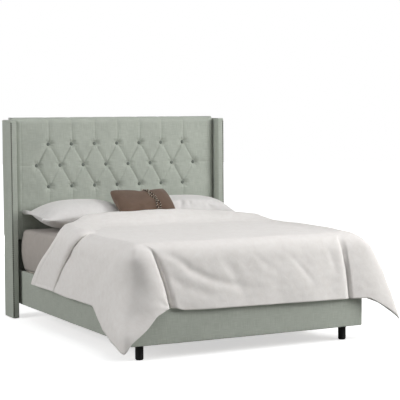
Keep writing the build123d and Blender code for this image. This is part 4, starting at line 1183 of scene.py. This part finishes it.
# On top the free edge and the underside sink a little into the duvet, which gives under them
edge_sink, edge_reach = 0.007, 0.15
turn_angles = np.linspace(0, pi, 9)[1:-1]
for k in range(band_columns):
    y = band_foot[k] + (band_head[k] - band_foot[k]) * steps
    at_side = np.clip((abs(band_path[k]) - side_from) / (top_edge_x + 0.06 - side_from), 0, 1) ** 1.5
    height = crest[k] * (roll_height * (1 - at_side) + side_height * at_side)
    height = height - edge_sink * (1 - at_side) * np.clip(1 - steps / edge_reach, 0, 1)
    under = 0.002 - (edge_sink + 0.001) * (1 - at_side)
    outer = np.stack([band_x[k] + lift_x[k] * height, y, band_z[k] + lift_z[k] * height], -1)
    radius = height[-1] / 2
    nose = np.stack([band_x[k] + lift_x[k] * radius * (1 + np.cos(turn_angles)),
                     y[-1] + np.minimum(fold_round, radius) * np.sin(turn_angles),
                     band_z[k] + lift_z[k] * radius * (1 + np.cos(turn_angles))], -1)
    inner = np.stack([band_x[k] + lift_x[k] * under * np.ones(band_rows), y,
                      band_z[k] + lift_z[k] * under * np.ones(band_rows)], -1)[::-1]
    loops.append(np.concatenate([outer, nose, inner]))
loops = np.array(loops)
lift = np.stack([lift_x, np.zeros(band_columns), lift_z], -1)[:, None, :]
hidden = len(turn_angles) + band_rows
outer_share = np.concatenate([np.sin(pi * np.clip(steps, 0.04, 0.96)) ** 0.5, np.zeros(hidden)])
wave = 0.0050 * ripple(loops, 0.35, 41) + 0.0024 * ripple(loops, 0.13, 42)
wave += 0.0008 * ripple(loops, 0.05, 43)
# Each stitched line is its distance from the edge, its depth and its width
hem_line, hem_depth, hem_width = 0.020, 0.004, 0.005
from_hem = reach_down + top_edge_x - np.abs(band_path)
stitch = hem_depth * np.exp(-((from_hem - hem_line) / hem_width) ** 2)
head_line, head_depth, head_width = 0.055 + 0.035 * np.clip(beyond / 0.2, 0, 1), 0.0075, 0.009
from_head = (band_head - band_foot)[:, None] * (1 - steps)[None, :]
head_stitch = head_depth * np.exp(-((from_head - head_line[:, None]) / head_width) ** 2)
head_stitch = np.concatenate([head_stitch, np.zeros((band_columns, hidden))], axis=1)
hem_taper = np.clip(from_hem / 0.03, 0.15, 1)
loops += lift * ((wave * hem_taper[:, None] - stitch[:, None] - head_stitch) * outer_share)[..., None]
turned_back = mesh_piece("duvet_turned_back_end", loops.reshape(-1, 3),
                         grid_faces(band_columns, loops.shape[1], wrap=True))
sew(turned_back, close=True)
dress(turned_back, white_cotton, "duvet_cotton", "duvet_turnback")

# Pillows
# Feather pillows in white cotton cases, two panels sewn together at the edge. They are full
# in the middle, drawn in along the seam, and run out to a sharp ear at each corner.


def cushion_blank(width, depth, height, cell, corner_round, end_power):
    """A closed cushion of two sewn panels: a grid on top, one below, joined along the seam."""
    across_count, along_count = int(width / cell) + 1, int(depth / cell) + 1
    u, v = np.meshgrid(np.linspace(-1, 1, across_count), np.linspace(-1, 1, along_count), indexing="ij")
    # The shares of its half size by which the seam is drawn in, most in the middle of a side
    pull_x, pull_y = 0.045 * (1 - v ** 4), 0.075 * (1 - u ** 4)
    x = width / 2 * u * (1 - pull_x * np.abs(u) ** 3)
    y = depth / 2 * v * (1 - pull_y * np.abs(v) ** 3)
    corner = corner_round * np.abs(u * v) ** 5
    x, y = x * (1 - corner), y * (1 - corner)
    rise = height / 2 * ((1 - np.abs(u) ** end_power) ** 0.62 * (1 - np.abs(v) ** 2.2) ** 0.55)
    points = np.concatenate([np.stack([x, y, face * rise], -1).reshape(-1, 3) for face in (1, -1)])
    faces = grid_faces(across_count, along_count, flip=True)
    faces += grid_faces(across_count, along_count, start=across_count * along_count)
    return points, faces


def filled_cushion(name, size, cell, corner_round, end_power, seed, cap):
    """Sews a blank, fills it by a short cloth simulation, and trims it back to its real size."""
    fill_frames = 20
    points, faces = cushion_blank(*size, cell, corner_round, end_power)
    points *= 1 + 0.004 * ripple(points, 0.08, seed)[:, None]
    piece = mesh_piece(name, points, faces)
    sew(piece, reach=1e-5)
    points = mesh_points(piece)
    fill = piece.modifiers.new("fill", "CLOTH")
    fill.settings.quality = 6
    fill.settings.mass = 0.25
    fill.settings.tension_stiffness = 18
    fill.settings.compression_stiffness = 18
    fill.settings.bending_stiffness = 0.4
    fill.settings.use_pressure = True
    fill.settings.uniform_pressure_force = 4.0
    fill.settings.shrink_min = -0.035
    fill.settings.effector_weights.gravity = 0.0
    fill.point_cache.frame_start = 1
    fill.point_cache.frame_end = fill_frames
    for number in range(1, fill_frames + 1):
        bpy.context.scene.frame_set(number)
    shown = piece.evaluated_get(bpy.context.evaluated_depsgraph_get())
    moved = mesh_points(shown) - points
    piece.modifiers.clear()
    bpy.context.scene.frame_set(1)
    far = np.linalg.norm(moved, axis=1, keepdims=True)
    points = points + moved * np.minimum(1, cap / np.maximum(far, 1e-9))
    span = np.ptp(points, axis=0)
    points = (points - (points.max(0) + points.min(0)) / 2) * (np.array(size) / span)
    return piece, points


def set_points(piece, points):
    """Moves a mesh's points, then adds one smooth subdivision."""
    piece.data.vertices.foreach_set("co", np.asarray(points, float).ravel())
    piece.data.update()
    smooth = piece.modifiers.new("smooth", "SUBSURF")
    smooth.levels = 1
    smooth.render_levels = 1


pillow_size, pillow_tilt, pillow_shift, pillow_cell = (0.744, 0.448, 0.212), 5.0, 0.005, 0.011
ticket = cotton("cotton_white_pillowcase", "#dfdddb", "#d6d3d1", 0.0008)
for side, sign, seed in (("left", -1, 51), ("right", 1, 52)):
    low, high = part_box(f"{side}_pillow")
    pillow, points = filled_cushion(f"{side}_pillow_in_case", pillow_size, pillow_cell, 0.0, 2.6, seed,
                                    0.030)
    tilt = np.array(Euler((pillow_tilt * pi / 180, 0, 0)).to_matrix())
    points = points @ tilt.T + np.array([(low.x + high.x) / 2 + sign * pillow_shift,
                                         (low.y + high.y) / 2, (low.z + high.z) / 2])
    # Its underside flattens softly where it comes near the sheet
    rest, soft = sheet_high.z + 0.0008, 0.03
    gap = points[:, 2] - rest
    points[:, 2] = rest + np.where(gap < soft, soft * np.exp((gap - soft) / soft), gap)
    set_points(pillow, points)
    dress(pillow, ticket, "pillow_cotton", f"{side}_pillow")

# Lumbar pillow
# A small brown pillow in a dull ribbed cloth, leaning on the others. A band of corded
# braid is sewn across it, a third of the way in from one end.
ribbed = start_material("brown_faille_woven")
rib_place = add(ribbed, "TexCoord")
rib_gap, patches_per_metre = 0.003, 14.0
ribs = add(ribbed, "TexWave", {"Vector": rib_place.outputs["Object"], "Scale": wave_period / rib_gap,
                               "Distortion": 2.0, "Detail Scale": 0.5}, bands_direction="X")
rib_patch = add(ribbed, "TexNoise", {"Vector": rib_place.outputs["Object"],
                                     "Scale": patches_per_metre, "Detail": 3.0})
rib_tone = add(ribbed, "Mix", {0: rib_patch.outputs[0], 6: linear("#57463a"), 7: linear("#745e4f")},
               data_type="RGBA")
rib_bump = add(ribbed, "Bump", {"Height": ribs.outputs[1], "Strength": 0.3, "Distance": 0.0006})
rib_shader = add(ribbed, "BsdfPrincipled", {"Base Color": rib_tone.outputs[2], "Roughness": 0.75,
                                            "IOR": 1.46, "Specular IOR Level": 0.3, "Sheen Weight": 0.2,
                                            "Normal": rib_bump.outputs[0]})
finish_material(ribbed, rib_shader)
lumbar_size = (0.438, 0.263, 0.098)
lumbar_tilt = 34.0
trim_low, trim_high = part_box("lumbar_trim")
lumbar_low, lumbar_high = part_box("lumbar_pillow")
lumbar, points = filled_cushion("lumbar_pillow_brown", lumbar_size, 0.008, 0.10, 9.0, 61, 0.016)
lean = np.array(Euler((lumbar_tilt * pi / 180, 0, 0)).to_matrix())
lumbar_centre = np.array([(a + b) / 2 for a, b in zip(lumbar_low, lumbar_high)])
points = points @ lean.T + lumbar_centre
set_points(lumbar, points)
dress(lumbar, ribbed, "lumbar_cloth", "lumbar_pillow")

# Lumbar pillow's braid
# Two dark cotton cords that cross over each other, couched down round the whole pillow with
# short pale stitches.
bpy.context.view_layer.update()
lumbar_shape = BVHTree.FromObject(lumbar, bpy.context.evaluated_depsgraph_get())
braid_x = (trim_low.x + trim_high.x) / 2
cord_radius, plait_swing, plait_length = 0.0034, 0.0145, 0.19
stitch_radius, stitch_gap, stitch_half, stitch_slant = 0.0018, 0.018, 0.0080, 0.6
cord_sides, ring_steps, stitch_sides = 8, 6, 4
braid_shift, braid_slant = 0.012, 0.020
braid_steps = 260


def on_pillow(x, angle, lift):
    """A point of the lumbar pillow at a place across it and an angle round it, raised a little."""
    way = Vector((0, cos(angle), sin(angle)))
    way.rotate(Euler((lumbar_tilt * pi / 180, 0, 0)))
    x -= braid_shift + braid_slant * cos(angle)
    start = Vector((x, lumbar_centre[1], lumbar_centre[2])) + way * 0.4
    hit, normal, _, _ = lumbar_shape.ray_cast(start, -way)
    return hit + normal * lift, normal


def corded(name, lines):
    """Round cords along closed lines of points and normals, as one piece."""
    points, faces = [], []
    for line, radius, sides in lines:
        start = len(points)
        count = len(line)
        for k, (place, normal) in enumerate(line):
            tangent = (line[(k + 1) % count][0] - line[k - 1][0]).normalized()
            side_way = tangent.cross(normal).normalized()
            over = side_way.cross(tangent)
            for i in range(sides):
                angle = 2 * pi * i / sides
                points.append(place + (side_way * cos(angle) + over * sin(angle)) * radius)
        for k in range(count):
            here, there = start + k * sides, start + (k + 1) % count * sides
            for i in range(sides):
                faces.append((here + i, here + (i + 1) % sides, there + (i + 1) % sides, there + i))
    return mesh_piece(name, points, faces)


angles = np.linspace(0, 2 * pi, braid_steps, endpoint=False)
around = [on_pillow(braid_x, a, 0)[0] for a in angles]
legs = [(a - b).length for a, b in zip(around, around[1:] + around[:1])]
round_length = sum(legs)
plaits = round(round_length / plait_length)
walked = np.cumsum([0] + legs[:-1]) / round_length
lines = []
for strand in range(2):
    line = []
    for share, angle in zip(walked, angles):
        phase = 2 * pi * (plaits * share + strand / 2)
        line.append(on_pillow(braid_x + plait_swing * sin(phase), angle,
                              cord_radius * 0.9 * (1 + strand * cos(phase) ** 2)))
    lines.append((line, cord_radius, cord_sides))
# Each short stitch loops over one cord, so it is a small closed ring across it
cord_faces = 2 * braid_steps * cord_sides
for line, _, _ in lines[:2]:
    for k in np.searchsorted(walked, np.arange(0, 1, stitch_gap / round_length)):
        place, normal = line[k]
        tangent = (line[(k + 1) % braid_steps][0] - line[k - 1][0]).normalized()
        way = (tangent.cross(normal).normalized() + tangent * stitch_slant).normalized()
        ring = []
        for step in range(ring_steps):
            turn_round = 2 * pi * step / ring_steps
            spot = place + way * stitch_half * cos(turn_round)
            spot += normal * cord_radius * 0.95 * sin(turn_round)
            ring.append((spot, tangent))
        lines.append((ring, stitch_radius, stitch_sides))
braid = corded("lumbar_braid", lines)
braid_cord = start_material("brown_cotton_cord_twisted")
cord_place = add(braid_cord, "TexCoord")
twist_gap = 0.0035
twist = add(braid_cord, "TexWave", {"Vector": cord_place.outputs["Object"],
                                    "Scale": wave_period / twist_gap, "Distortion": 1.0},
            bands_direction="DIAGONAL")
# The grooves of the twist, where the bump sinks, get the darker colour: painted shade between the
# strands.
cord_twist_shade = add(braid_cord, "Mix", {0: twist.outputs[1], 6: linear("#15100c"), 7: linear("#3a2e26")},
                data_type="RGBA")
cord_bump = add(braid_cord, "Bump", {"Height": twist.outputs[1], "Strength": 0.6, "Distance": 0.0008})
cord_shader = add(braid_cord, "BsdfPrincipled", {"Base Color": cord_twist_shade.outputs[2], "Roughness": 0.8,
                                                 "IOR": 1.46, "Normal": cord_bump.outputs[0]})
finish_material(braid_cord, cord_shader)
dress(braid, braid_cord, "lumbar_braid", "lumbar_trim")
stitch_thread = coated("cotton_thread_pale", "#cbbdab", 0.85, 0.3, 0.0006)
braid.data.materials.append(stitch_thread)
for face in braid.data.polygons[cord_faces:]:
    face.material_index = 1
